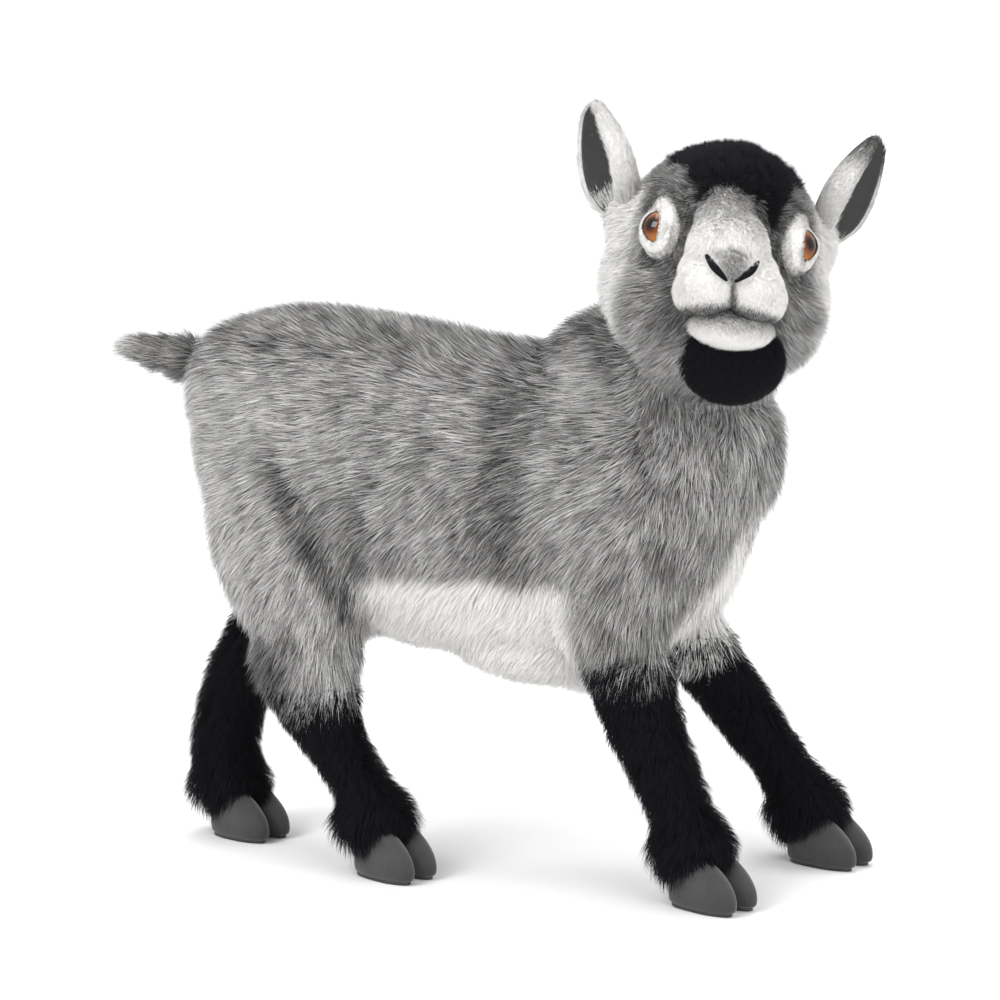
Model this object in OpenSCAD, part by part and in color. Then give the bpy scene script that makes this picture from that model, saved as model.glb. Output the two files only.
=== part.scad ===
// Plush goat kid that stands on four cloven hooves with its head turned to its right.
// Millimetres. +X runs from tail to chest, +Y to the animal's left and +Z up; the soles rest on Z = 0.
// Long-pile panels are drawn as their backing cloth with the dense part of the pile.

/* [Torso] */
// Length of the stuffed body from rump to chest
torso_len = 277; // [250:1:340]
// Greatest width of the body over its fur panels
torso_w = 114; // [95:1:138]
// Height of the body from the lowest belly line to the highest back line
torso_h = 164; // [136:1:198]
// Height of the lowest belly line above the ground
belly_z = 93; // [84:1:120]
// Thickness of a fur panel with its dense pile
fur_t = 5; // [3:0.5:7]
// Clearance between a panel and the stuffing under it
skin_gap = 0.5; // [0.3:0.1:0.8]
// Distance of the seam between flank and shoulder panels behind the chest
shoulder_seam = 98; // [84:1:112]
// Angle of the seam between side panels and belly panel, from the top of the body
belly_seam = 118; // [108:1:128]
// Diameter of the armature wires
wire_d = 3; // [2:0.5:4]

/* [Neck] */
// Forward place of the neck, which the head turns about
neck_x = 96; // [90:1:100]
// Depth of the seam where the head sits on the neck, under the highest back line
neck_dip = 7; // [0:1:9]
// Radius of the neck where it leaves the shoulders
neck_base_r = 27; // [22:1:30]
// Radius of the neck under the head
neck_top_r = 36; // [30:1:37]
// Least clearance between the neck and the tilted head that turns on it
turn_gap = 0.6; // [0.4:0.1:1.2]

/* [Head] */
// Direction that the face points in, from straight ahead; negative is to the right
head_yaw = -70; // [-75:1:0]
// Sideways tilt of the head, towards its left cheek
head_roll = 7; // [0:1:9]
// Width of the head over its cheek panels
head_w = 90; // [78:1:108]
// Height of the head from jaw to crown
head_h = 100; // [90:1:108]
// Distance from the neck's axis to the flat of the face under the muzzle
face_u = 78; // [74:1:86]
// Distance that the muzzle stands out from the face
muzzle_len = 30; // [24:1:40]
// Width of the muzzle at the face, as a share of the head's width
muzzle_share = 0.555; // [0.465:0.005:0.62]
// Diameter of an eye
eye_d = 15; // [12:0.5:18]
// Diameter of the shank behind an eye
shank_d = 5; // [4:0.5:6]
// Diameter of the lock washer on an eye's shank
washer_d = 14; // [11:0.5:17]
// Length of an ear from its root
ear_len = 52; // [40:1:64]
// Width of an ear at its widest
ear_w = 27; // [20:1:32]

/* [Tail] */
// Length of the tail from its root
tail_len = 34; // [26:1:46]
// Radius of the tail at its root
tail_r = 8; // [6:0.5:9]

/* [Legs] */
// Height of a hoof from the ground to the ankle seam
hoof_h = 20; // [16:1:22]
// Length of a hoof
hoof_len = 37; // [32:1:42]
// Width of a hoof over both toes
hoof_w = 27; // [22:1:30]
// Gap between the two toes of a hoof
cleft = 1; // [0.6:0.1:2]
// Thickness of a leather sole
sole_t = 1.6; // [1:0.1:2.5]
// Rise of the seam between grey fur and black sock on the forelegs over the lowest belly line
fore_hem_rise = 5; // [-4:1:7]
// Drop of the same seam on the right hind leg under the lowest belly line
hind_hem_drop = 17; // [4:1:26]
// Thickness of a sock's pile cloth
sock_t = 3; // [2:0.5:4]

/* [Hidden] */

// Steps around a section of the body and of a leg
around = 36;
leg_around = 16;
head_around = 24;
// Squareness of the body's section: 2 is an ellipse
squareness = 2.25;
// Height of the widest place of a section, as a share of the section's height
waist = 0.52;

// Height of the seam where the head sits on the neck
neck_z = belly_z + torso_h - neck_dip;
// Heights of the socks' seams
fore_hem_z = belly_z + fore_hem_rise;
hind_hem_z = belly_z - hind_hem_drop;
// Sides of the round and of the finely round solids
round_n = 24;
fine_n = 48;

// ---------- interpolation ----------

// Catmull-Rom value between b and c
function spline(a, b, c, d, t) =
    0.5 * (2 * b + (c - a) * t + (2 * a - 5 * b + 4 * c - d) * t * t + (3 * b - a - 3 * c + d) * t * t * t);
function row(T, i) = T[max(0, min(len(T) - 1, i))];
// A table with extra rows between the given ones
function refined(T, steps) = [
    for (i = [0 : len(T) - 2], k = [0 : steps - 1])
        spline(row(T, i - 1), row(T, i), row(T, i + 1), row(T, i + 2), k / steps),
    T[len(T) - 1]
];
// Column c of a table at the place x of its first column
function at(T, x, c) = lookup(x, [for (r = T) [r[0], r[c]]]);
function lifted(v, p) = sign(v) * pow(abs(v), p);

// ---------- place in the object's own frame ----------

// The pieces are drawn about the body's middle plane, then moved so that the standing object's box is centred
module placed() {
    translate([-(box_back + box_front) / 2, -(box_right + box_left) / 2, 0]) children();
}

// ---------- solids from grids ----------

// Faces of a grid with rows of n points that closes around
function tube_faces(rows, n, first, flip) = [
    for (i = [0 : rows - 2], j = [0 : n - 1])
        let (a = first + i * n + j, b = first + i * n + (j + 1) % n, c = b + n, d = a + n)
            each flip ? [[a, c, b], [a, d, c]] : [[a, b, c], [a, c, d]]
];
// Faces that join two rings of n points
function ring_faces(n, first, second, flip) = [
    for (j = [0 : n - 1])
        let (a = first + j, b = first + (j + 1) % n, c = second + (j + 1) % n, d = second + j)
            each flip ? [[a, c, b], [a, d, c]] : [[a, b, c], [a, c, d]]
];
// A closed solid whose faces are given anticlockwise as seen from outside
module closed_solid(points, faces) {
    polyhedron(points, [for (f = faces) [for (k = [len(f) - 1 : -1 : 0]) f[k]]]);
}
// Tube between an outer and an inner grid, both closed around
module tube_solid(outer, inner) {
    n = len(outer[0]);
    second = len(outer) * n;
    points = concat([for (r = outer) each r], [for (r = inner) each r]);
    closed_solid(points, concat(
        tube_faces(len(outer), n, 0, false),
        tube_faces(len(inner), n, second, true),
        ring_faces(n, 0, second, true),
        ring_faces(n, second - n, second + (len(inner) - 1) * n, false)
    ));
}
// Solid with flat ends from rings that close around
module loft_solid(rings) {
    rows = len(rings);
    n = len(rings[0]);
    points = [for (r = rings) each r];
    closed_solid(points, concat(
        tube_faces(rows, n, 0, false),
        [[for (j = [0 : n - 1]) n - 1 - j]],
        [[for (j = [0 : n - 1]) (rows - 1) * n + j]]
    ));
}
// Panel between an outer and an inner open grid
module panel_solid(outer, inner) {
    rows = len(outer);
    n = len(outer[0]);
    s = rows * n;
    points = concat([for (r = outer) each r], [for (r = inner) each r]);
    faces = concat(
        [for (i = [0 : rows - 2], j = [0 : n - 2]) let (a = i * n + j)
            each [[a, a + 1, a + n + 1], [a, a + n + 1, a + n]]],
        [for (i = [0 : rows - 2], j = [0 : n - 2]) let (a = s + i * n + j)
            each [[a, a + n + 1, a + 1], [a, a + n, a + n + 1]]],
        [for (i = [0 : rows - 2], j = [0, n - 1]) let (a = i * n + j, b = a + n)
            each j == 0 ? [[a, b, b + s], [a, b + s, a + s]] : [[a, b + s, b], [a, a + s, b + s]]],
        [for (j = [0 : n - 2], i = [0, rows - 1]) let (a = i * n + j, b = a + 1)
            each i == 0 ? [[a, b + s, b], [a, a + s, b + s]] : [[a, b, b + s], [a, b + s, a + s]]]
    );
    closed_solid(points, faces);
}

// ---------- torso ----------

// Side view of the body: share of the length, top and bottom as shares of the height, share of the width
TORSO_SHAPE = [
    [0.000, 0.848, 0.561, 0.20],
    [0.011, 0.880, 0.476, 0.45],
    [0.036, 0.930, 0.390, 0.68],
    [0.090, 0.970, 0.300, 0.86],
    [0.180, 1.000, 0.220, 0.97],
    [0.289, 0.985, 0.140, 1.00],
    [0.415, 0.945, 0.065, 1.00],
    [0.540, 0.905, 0.010, 0.97],
    [0.668, 0.900, 0.000, 0.95],
    [0.776, 0.895, 0.030, 0.93],
    [0.866, 0.870, 0.120, 0.86],
    [0.931, 0.820, 0.260, 0.72],
    [0.971, 0.770, 0.400, 0.52],
    [0.993, 0.720, 0.500, 0.30],
    [1.000, 0.680, 0.560, 0.16]
];
// The chest reaches this far in front of the neck's axis
chest_reach = 31;
torso_front = neck_x + chest_reach;
torso_back = torso_front - torso_len;
plain_rows = [for (r = refined(TORSO_SHAPE, 2)) [
    torso_back + r[0] * torso_len,
    belly_z + r[1] * torso_h,
    belly_z + r[2] * torso_h,
    r[3] * torso_w / 2
]];
// The seam behind the shoulder adds a row on each side of it
seam_gap = 0.5;
seam_x = torso_front - shoulder_seam;
function seam_row(x) = [for (c = [0 : 3]) c == 0 ? x : at(plain_rows, x, c)];
rows_behind = [for (r = plain_rows) if (r[0] < seam_x - 3) r];
torso_rows = concat(rows_behind, [seam_row(seam_x - seam_gap / 2), seam_row(seam_x + seam_gap / 2)],
    [for (r = plain_rows) if (r[0] > seam_x + 3) r]);
shoulder_row = len(rows_behind);
last_row = len(torso_rows) - 1;

// Point of the body's section at station i and angle a from the top, towards the right
function torso_point(i, a, inset) =
    let (
        r = torso_rows[i],
        x = torso_back + inset + (r[0] - torso_back) * (torso_len - 2 * inset) / torso_len,
        zc = r[2] + waist * (r[1] - r[2]),
        h = (cos(a) > 0 ? r[1] - zc : zc - r[2]) - inset
    )
    [x, -(r[3] - inset) * lifted(sin(a), 2 / squareness), zc + h * lifted(cos(a), 2 / squareness)];
function torso_panel(i0, i1, a0, a1, inset) = [
    for (i = [i0 : i1]) [for (a = [a0 : (a1 - a0) / max(2, round(abs(a1 - a0) * around / 360)) : a1 + 0.01])
        torso_point(i, a, inset)]
];
// Height of the body's surface under and over a place on the ground plane
function torso_section(x, y) =
    let (hw = at(torso_rows, x, 3), t = min(1, abs(y) / hw))
    pow(max(0, 1 - pow(t, squareness)), 1 / squareness);
function torso_waist(x) =
    at(torso_rows, x, 2) + waist * (at(torso_rows, x, 1) - at(torso_rows, x, 2));
function torso_under(x, y) = torso_waist(x) - (torso_waist(x) - at(torso_rows, x, 2)) * torso_section(x, y);
function torso_over(x, y) = torso_waist(x) + (at(torso_rows, x, 1) - torso_waist(x)) * torso_section(x, y);

module torso_side(i0, i1, side) {
    a0 = side * seam_gap;
    a1 = side * (belly_seam - seam_gap);
    lo = min(a0, a1);
    hi = max(a0, a1);
    panel_solid(torso_panel(i0, i1, lo, hi, 0), torso_panel(i0, i1, lo, hi, fur_t));
}
module flank_fur_right() { color("#8d8b8a") placed() torso_side(0, shoulder_row, 1); }
module flank_fur_left() { color("#8d8b8a") placed() torso_side(0, shoulder_row, -1); }
module shoulder_fur_right() { color("#a09e9d") placed() torso_side(shoulder_row + 1, last_row, 1); }
module shoulder_fur_left() { color("#a09e9d") placed() torso_side(shoulder_row + 1, last_row, -1); }
module belly_fur() {
    a0 = belly_seam + seam_gap;
    a1 = 360 - a0;
    outer = torso_panel(0, last_row, a0, a1, 0);
    inner = torso_panel(0, last_row, a0, a1, fur_t);
    color("#f2f0ea") placed() panel_solid(outer, inner);
}

// The stuffing is a tube around the spine wire
spine_z = belly_z + 0.62 * torso_h;
function x_circle(x, z, r, n) = [for (j = [0 : n - 1]) [x, -r * sin(j * 360 / n), z + r * cos(j * 360 / n)]];
stuffing_inset = fur_t + skin_gap;
stuffing_rows = [for (i = [1 : last_row - 1]) i];
module torso_stuffing() {
    outer = [for (i = stuffing_rows)
        [for (j = [0 : around - 1]) torso_point(i, j * 360 / around, stuffing_inset)]];
    inner = [for (r = outer) x_circle(r[0][0], spine_z, wire_d / 2 + skin_gap, around)];
    color("#e6e4dc") placed() tube_solid(outer, inner);
}
module spine_wire() {
    x0 = torso_point(1, 0, stuffing_inset)[0];
    x1 = torso_point(last_row - 1, 0, stuffing_inset)[0];
    color("#9aa0a6") placed() translate([x0, 0, spine_z]) rotate([0, 90, 0])
        cylinder(d = wire_d, h = x1 - x0, $fn = round_n);
}

// ---------- neck ----------

neck_n = 28;
seat_gap = 1.2;
// The tilted head's seat dips this far at the neck's rim
neck_top_z = neck_z - neck_top_r * sin(head_roll) - turn_gap;
// Ring of the neck that sits on the shoulders
function neck_seat(r) = [for (j = [0 : neck_n - 1])
    let (x = neck_x + r * cos(j * 360 / neck_n), y = r * sin(j * 360 / neck_n))
    [x, y, torso_over(x, y) + seat_gap]];
function neck_ring(r, z) = [for (j = [0 : neck_n - 1])
    [neck_x + r * cos(j * 360 / neck_n), r * sin(j * 360 / neck_n), z]];
module neck_fur() {
    outer = [neck_seat(neck_base_r), neck_ring(neck_top_r, neck_top_z)];
    inner = [neck_seat(neck_base_r - fur_t), neck_ring(neck_top_r - fur_t, neck_top_z)];
    color("#7d7b7a") placed() tube_solid(outer, inner);
}
module neck_stuffing() {
    r0 = neck_base_r - fur_t - skin_gap;
    r1 = neck_top_r - fur_t - skin_gap;
    hole = wire_d / 2 + skin_gap;
    outer = [neck_seat((r0 + hole) / 2), neck_seat(r0), neck_ring(r1, neck_top_z)];
    inner = [neck_seat(hole), neck_ring(hole, neck_top_z)];
    color("#e6e4dc") placed() tube_solid(outer, inner);
}
neck_wire_z = torso_over(neck_x, 0) + seat_gap;
neck_wire_len = 52;
module neck_wire() {
    color("#9aa0a6") placed() translate([neck_x, 0, neck_wire_z])
        cylinder(d = wire_d, h = neck_wire_len, $fn = round_n);
}

// ---------- legs ----------

// Each leg: height, forward place, sideways place, half length, half width; the last row is at the body.
// Heights are for a hoof of drawn_hoof and a belly line of drawn_belly, and widths for a body of drawn_w.
drawn_hoof = 20;
drawn_belly = 93;
drawn_w = 114;
// Forward places are from the chest for the forelegs and from the rump for the hind legs
FORE_RIGHT_ROWS = [
    [0, -15, -42, 15, 13], [20, -19, -41, 15, 13], [32, -23, -41, 18, 15], [45, -30, -41, 15, 14],
    [62, -38, -41, 15.5, 14], [80, -46, -40, 17, 15], [98, -53, -37, 19, 15.5], [130, -57, -30, 21, 15]
];
FORE_LEFT_ROWS = [
    [0, 15, 53, 15, 13], [20, 11, 52, 15, 13], [32, 4, 52, 18, 15], [45, -6, 51, 15, 14],
    [62, -19, 49, 15.5, 14], [80, -31, 45, 17, 15], [98, -43, 38, 19, 15.5], [130, -55, 30, 21, 15]
];
HIND_RIGHT_ROWS = [
    [0, 114, -39, 15, 13], [20, 108, -39, 15, 13], [32, 103, -39, 17.5, 15], [45, 94, -39, 14.5, 13.5],
    [60, 82, -38, 15, 14], [76, 73, -37, 19, 16], [90, 69, -36, 25, 18], [130, 70, -33, 32, 19]
];
HIND_LEFT_ROWS = [
    [0, 18, 8, 15, 13], [20, 13, 8, 15, 13], [32, 7, 9, 18, 15], [45, 4, 12, 16.5, 14],
    [60, 5, 16, 16, 14], [80, 11, 21, 17.5, 15], [100, 23, 26, 21, 16], [130, 46, 30, 27, 18]
];
function leg_z(z) = z <= drawn_hoof
    ? z * hoof_h / drawn_hoof
    : hoof_h + (z - drawn_hoof) * (belly_z - hoof_h) / (drawn_belly - drawn_hoof);
// A leg's rows fitted to the body's sizes
function fitted(rows, x0) = [for (r = rows) [leg_z(r[0]), x0 + r[1], r[2] * torso_w / drawn_w, r[3], r[4]]];
FORE_RIGHT = fitted(FORE_RIGHT_ROWS, torso_front);
FORE_LEFT = fitted(FORE_LEFT_ROWS, torso_front);
HIND_RIGHT = fitted(HIND_RIGHT_ROWS, torso_back);
HIND_LEFT = fitted(HIND_LEFT_ROWS, torso_back);
// Height of the sock's seam on the left hind leg, whose black side shows
hind_left_rise = 24;
hind_left_hem_z = hind_hem_z + hind_left_rise;
sock_steps = 6;
function leg_ring_at(x, y, hx, hy, z) = [for (j = [0 : leg_around - 1]) let (a = j * 360 / leg_around)
    [x + hx * cos(a), y + hy * sin(a), z]];
function leg_ring(L, z, inset) =
    leg_ring_at(at(L, z, 1), at(L, z, 2), at(L, z, 3) - inset, at(L, z, 4) - inset, z);
function leg_hole(L, z, r) = leg_ring_at(at(L, z, 1), at(L, z, 2), r, r, z);
function leg_heights(hem) = [for (k = [0 : sock_steps]) hoof_h + (hem - hoof_h) * k / sock_steps];
// Ring pressed up against the underside of the body
function leg_seat_ring(x, y, hx, hy) = [for (j = [0 : leg_around - 1])
    let (a = j * 360 / leg_around, px = x + hx * cos(a), py = y + hy * sin(a))
    [px, py, torso_under(px, py) - seat_gap]];
function leg_seat(L, inset, share) = let (r = L[len(L) - 1])
    leg_seat_ring(r[1], r[2], (r[3] - inset) * share, (r[4] - inset) * share);
function leg_seat_hole(L, r) = let (e = L[len(L) - 1]) leg_seat_ring(e[1], e[2], r, r);
function between(p, q, t) = [for (j = [0 : len(p) - 1]) p[j] + (q[j] - p[j]) * t];

module upper_leg_fur(L, hem) {
    outer = [leg_ring(L, hem + seam_gap, 0), between(leg_ring(L, hem + seam_gap, 0), leg_seat(L, 0, 1), 0.5),
        leg_seat(L, 0, 1)];
    low = leg_ring(L, hem + seam_gap, fur_t);
    inner = [low, between(low, leg_seat(L, fur_t, 1), 0.5), leg_seat(L, fur_t, 1)];
    color("#8d8b8a") placed() tube_solid(outer, inner);
}
module leg_sock(L, hem) {
    heights = leg_heights(hem);
    color("#17181c") placed()
        tube_solid([for (z = heights) leg_ring(L, z, 0)], [for (z = heights) leg_ring(L, z, sock_t)]);
}
// Share of the leg's top that an inner ring of its stuffing spans
seat_share = 0.55;
module leg_stuffing(L, hem) {
    heights = leg_heights(hem);
    inset = fur_t + 3 * skin_gap;
    hole = wire_d / 2 + skin_gap;
    low = leg_ring(L, hem + seam_gap, inset);
    outer = concat(
        [for (z = heights) leg_ring(L, z, z < hem - seam_gap ? sock_t + skin_gap : inset)],
        [between(low, leg_seat(L, inset, 1), 0.5), leg_seat(L, inset, 1), leg_seat(L, inset, seat_share)]
    );
    inner = concat(
        [for (z = heights) leg_hole(L, z, hole)],
        [between(leg_hole(L, hem, hole), leg_seat_hole(L, hole), 0.5), leg_seat_hole(L, hole)]
    );
    color("#e6e4dc") placed() tube_solid(outer, inner);
}
module leg_wire(L, hem) {
    r = wire_d / 2;
    color("#9aa0a6") placed() loft_solid(concat(
        [for (z = leg_heights(hem)) leg_hole(L, z, r)],
        [between(leg_hole(L, hem, r), leg_seat_hole(L, r), 0.5), leg_seat_hole(L, r)]
    ));
}

// A hoof is two toes side by side; rows: share of its height, heel, tip, width
TOE_SHAPE = [
    [0.00, 0.02, 0.97, 0.94], [0.14, 0.00, 1.00, 1.00], [0.42, 0.01, 0.96, 1.00],
    [0.72, 0.03, 0.84, 0.94], [1.00, 0.06, 0.66, 0.84]
];
toe_squareness = 2.5;
toe_n = 14;
heel_back = 11;
toe_half = (hoof_w - cleft) / 4;
function toe_outline(r, side) =
    let (x0 = r[1] * hoof_len - heel_back, x1 = r[2] * hoof_len - heel_back, w = r[3] * toe_half)
    [for (j = [0 : toe_n - 1]) let (a = j * 360 / toe_n)
        [(x0 + x1) / 2 + (x1 - x0) / 2 * lifted(cos(a), 2 / toe_squareness),
         side * (cleft / 2 + w) + w * lifted(sin(a), 2 / toe_squareness)]];
toe_gap = 0.3;
module at_hoof(L, turn) {
    translate([at(L, hoof_h, 1), at(L, hoof_h, 2), 0]) rotate([0, 0, turn]) children();
}
module hoof(L, turn) {
    color("#4a4a4c") placed() at_hoof(L, turn) for (side = [-1, 1])
        loft_solid([for (r = TOE_SHAPE) [for (p = toe_outline(r, side))
            [p[0], p[1], sole_t + r[0] * (hoof_h - sole_t - toe_gap)]]]);
}
module sole(L, turn) {
    color("#2a2725") placed() at_hoof(L, turn) for (side = [-1, 1])
        linear_extrude(sole_t) polygon(toe_outline(TOE_SHAPE[0], side));
}
right_turn = -24;
left_turn = -20;
module upper_foreleg_fur_right() upper_leg_fur(FORE_RIGHT, fore_hem_z);
module upper_foreleg_fur_left() upper_leg_fur(FORE_LEFT, fore_hem_z);
module haunch_fur_right() upper_leg_fur(HIND_RIGHT, hind_hem_z);
module haunch_fur_left() upper_leg_fur(HIND_LEFT, hind_left_hem_z);
module foreleg_stuffing_right() leg_stuffing(FORE_RIGHT, fore_hem_z);
module foreleg_stuffing_left() leg_stuffing(FORE_LEFT, fore_hem_z);
module hind_leg_stuffing_right() leg_stuffing(HIND_RIGHT, hind_hem_z);
module hind_leg_stuffing_left() leg_stuffing(HIND_LEFT, hind_left_hem_z);
module foreleg_sock_right() leg_sock(FORE_RIGHT, fore_hem_z);
module foreleg_sock_left() leg_sock(FORE_LEFT, fore_hem_z);
module hind_leg_sock_right() leg_sock(HIND_RIGHT, hind_hem_z);
module hind_leg_sock_left() leg_sock(HIND_LEFT, hind_left_hem_z);
module foreleg_wire_right() leg_wire(FORE_RIGHT, fore_hem_z);
module foreleg_wire_left() leg_wire(FORE_LEFT, fore_hem_z);
module hind_leg_wire_right() leg_wire(HIND_RIGHT, hind_hem_z);
module hind_leg_wire_left() leg_wire(HIND_LEFT, hind_left_hem_z);
module fore_hoof_right() hoof(FORE_RIGHT, right_turn);
module fore_hoof_left() hoof(FORE_LEFT, left_turn);
module hind_hoof_right() hoof(HIND_RIGHT, right_turn);
module hind_hoof_left() hoof(HIND_LEFT, left_turn);
module fore_sole_right() sole(FORE_RIGHT, right_turn);
module fore_sole_left() sole(FORE_LEFT, left_turn);
module hind_sole_right() sole(HIND_RIGHT, right_turn);
module hind_sole_left() sole(HIND_LEFT, left_turn);

// ---------- head ----------
// Head pieces are drawn facing +X about the neck's axis, and then turned with it.

seat_z = neck_z;
jaw_drop = 25;
crown_rise = head_h - jaw_drop;
cheek_z = seat_z + 15;
// Side view: forward place, top as a share of the crown, drop as a share of the jaw, share of the width
HEAD_SHAPE = [
    [-20, 0.58, -0.48, 0.24], [-15, 0.76, -0.22, 0.52], [-4, 0.91, 0, 0.80], [8, 0.98, 0, 0.92],
    [22, 1.00, 0, 0.98], [neck_top_r + 2, 1.00, 0, 1.00], [neck_top_r + 10, 0.99, 0.85, 1.00],
    [face_u - 20, 0.96, 1.00, 0.98], [face_u - 9, 0.90, 1.00, 0.86], [face_u, 0.76, 0.94, 0.64]
];
head_last = len(HEAD_SHAPE) - 1;
function head_section(u) = [
    u,
    seat_z + crown_rise * at(HEAD_SHAPE, u, 1),
    seat_z - jaw_drop * at(HEAD_SHAPE, u, 2),
    head_w / 2 * at(HEAD_SHAPE, u, 3)
];
function head_point_at(u, a, inset) =
    let (
        s = head_section(u),
        back = HEAD_SHAPE[0][0],
        x = back + inset + (u - back) * (face_u - back - 2 * inset) / (face_u - back),
        p = cos(a) > 0 ? 2 / 1.8 : 2 / 2.3,
        h = (cos(a) > 0 ? s[1] - cheek_z : cheek_z - s[2]) - inset
    )
    [x, -(s[3] - inset) * lifted(sin(a), p), cheek_z + h * lifted(cos(a), p)];
function head_panel(i0, i1, a0, a1, inset) = [
    for (i = [i0 : i1]) let (steps = max(2, round(abs(a1 - a0) * head_around / 360)))
        [for (a = [a0 : (a1 - a0) / steps : a1 + 0.01]) head_point_at(HEAD_SHAPE[i][0], a, inset)]
];
pile_t = 3;
module head_frame() {
    translate([neck_x, 0, neck_z]) rotate([-head_roll, 0, head_yaw]) translate([0, 0, -neck_z]) children();
}
module head_skin(i0, i1, a0, a1) {
    head_frame() panel_solid(head_panel(i0, i1, a0, a1, 0), head_panel(i0, i1, a0, a1, pile_t));
}
crown_a = 42;
jaw_a = 138;
neck_row = 5;
join_a = 0.6;

// Place and outward direction of an eye; side is 1 on the right
eye_u = face_u - 7;
eye_a = 56;
function eye_place(side) = head_point_at(eye_u, side * eye_a, 0);
function unit(v) = v / norm(v);
function eye_normal(side) = unit(cross(
    head_point_at(eye_u, side * eye_a + 4, 0) - head_point_at(eye_u, side * eye_a - 4, 0),
    head_point_at(eye_u + 4, side * eye_a, 0) - head_point_at(eye_u - 4, side * eye_a, 0)));
module at_eye(side) {
    n = eye_normal(side);
    head_frame() translate(eye_place(side)) rotate([0, acos(n[2]), atan2(n[1], n[0])]) children();
}
patch_t = 1.2;
patch_lift = 0.4;
dome_h = 0.31 * eye_d;
eye_seat = patch_lift + patch_t + 0.1;
eye_r = (eye_d * eye_d / 4 + dome_h * dome_h) / (2 * dome_h);
shank_len = 17;
washer_t = 1.6;
washer_depth = pile_t + 2.4;
shank_clear = 0.3;
module eye_bore(side) {
    at_eye(side) translate([0, 0, -shank_len - 2])
        cylinder(d = shank_d + 2 * shank_clear, h = shank_len + 6, $fn = round_n);
}
module washer_pocket(side) {
    at_eye(side) translate([0, 0, -shank_len - 2])
        cylinder(d = washer_d + 2, h = shank_len + 6, $fn = fine_n);
}
module cheek(side) {
    a0 = side == 1 ? crown_a + join_a : -jaw_a + join_a;
    a1 = side == 1 ? jaw_a - join_a : -crown_a - join_a;
    color("#9a9897") placed() difference() {
        head_skin(0, head_last, a0, a1);
        eye_bore(side);
    }
}
module cheek_fur_right() cheek(1);
module cheek_fur_left() cheek(-1);
module crown_fur() {
    color("#15161a") placed() head_skin(neck_row, head_last, -crown_a + join_a, crown_a - join_a);
}
module nape_fur() { color("#7d7b7a") placed() head_skin(0, neck_row, -crown_a + join_a, crown_a - join_a); }
module jaw_fur() {
    color("#1b1c20") placed() head_skin(neck_row, head_last, jaw_a + join_a, 360 - jaw_a - join_a);
}
module neck_bore() {
    translate([neck_x, 0, neck_z - 10])
        cylinder(d = wire_d + 2 * skin_gap, h = neck_wire_z + neck_wire_len + 12 - neck_z, $fn = round_n);
}
module throat_cloth() {
    color("#7d7b7a") placed() difference() {
        head_skin(0, neck_row, jaw_a + join_a, 360 - jaw_a - join_a);
        neck_bore();
    }
}
module head_stuffing() {
    inset = pile_t + 1.6 * skin_gap;
    rings = [for (r = HEAD_SHAPE)
        [for (j = [0 : head_around - 1]) head_point_at(r[0], j * 360 / head_around, inset)]];
    color("#e6e4dc") placed() difference() {
        head_frame() loft_solid(rings);
        neck_bore();
        washer_pocket(1);
        washer_pocket(-1);
    }
}

// Muzzle: share of its length, share of its width, bottom and top above the neck seam
MUZZLE_SHAPE = [
    [0.00, 1.00, 0, 52], [0.35, 0.98, 1, 49], [0.70, 0.88, 2, 44],
    [0.90, 0.74, 4, 40], [1.00, 0.54, 8, 36]
];
muzzle_n = 24;
muzzle_w = muzzle_share * head_w;
face_gap = 0.4;
function oval_ring(u, half, z0, z1, n, p) = [for (j = [0 : n - 1]) let (a = j * 360 / n)
    [u, -half * lifted(sin(a), p), (z0 + z1) / 2 + (z1 - z0) / 2 * lifted(cos(a), p)]];
function muzzle_rings(inset) = [for (r = MUZZLE_SHAPE)
    oval_ring(face_u + face_gap + r[0] * (muzzle_len - inset), r[1] * muzzle_w / 2 - inset,
        seat_z + r[2] + inset, seat_z + r[3] - inset, muzzle_n, 0.85)];
module muzzle_pile() {
    outer = muzzle_rings(0);
    inner = muzzle_rings(pile_t);
    n = muzzle_n;
    rows = len(outer);
    second = rows * n;
    points = concat([for (r = outer) each r], [for (r = inner) each r]);
    color("#f4f2ee") placed() head_frame() closed_solid(points, concat(
        tube_faces(rows, n, 0, false),
        tube_faces(rows, n, second, true),
        ring_faces(n, 0, second, true),
        [[for (j = [0 : n - 1]) second - n + j]],
        [[for (j = [n - 1 : -1 : 0]) second + second - n + j]]
    ));
}
module muzzle_stuffing() {
    color("#e6e4dc") placed() head_frame() loft_solid(muzzle_rings(pile_t + skin_gap));
}
// Soft lump under the muzzle: share of its length, half width, bottom and top below the neck seam.
// Half widths are for a head of drawn_head_w.
drawn_head_w = 90;
module face_lump(shape, reach, shift) {
    wider = head_w / drawn_head_w;
    head_frame() translate([0, shift, 0]) loft_solid([for (r = shape)
        oval_ring(face_u + face_gap + r[0] * reach, r[1] * wider, seat_z - r[2], seat_z - r[3], lump_n, 0.85)]);
}
lump_n = 20;
lip_reach = 21;
bib_reach = 17;
// The lip and the bib hang this far to the left of the nose
lip_shift = 2;
bib_shift = 5;
LIP_SHAPE = [[0, 20, 11.6, 0.5], [0.7, 17.5, 10.6, 0.5], [1, 11, 8.5, 1.5]];
BIB_SHAPE = [[0, 22, 29, 12], [0.65, 19, 28, 12], [1, 12, 24, 13.5]];
module lower_lip() {
    color("#eceae6") placed() face_lump(LIP_SHAPE, lip_reach, lip_shift);
}
module chin_bib() {
    color("#15161a") placed() face_lump(BIB_SHAPE, bib_reach, bib_shift);
}
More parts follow.
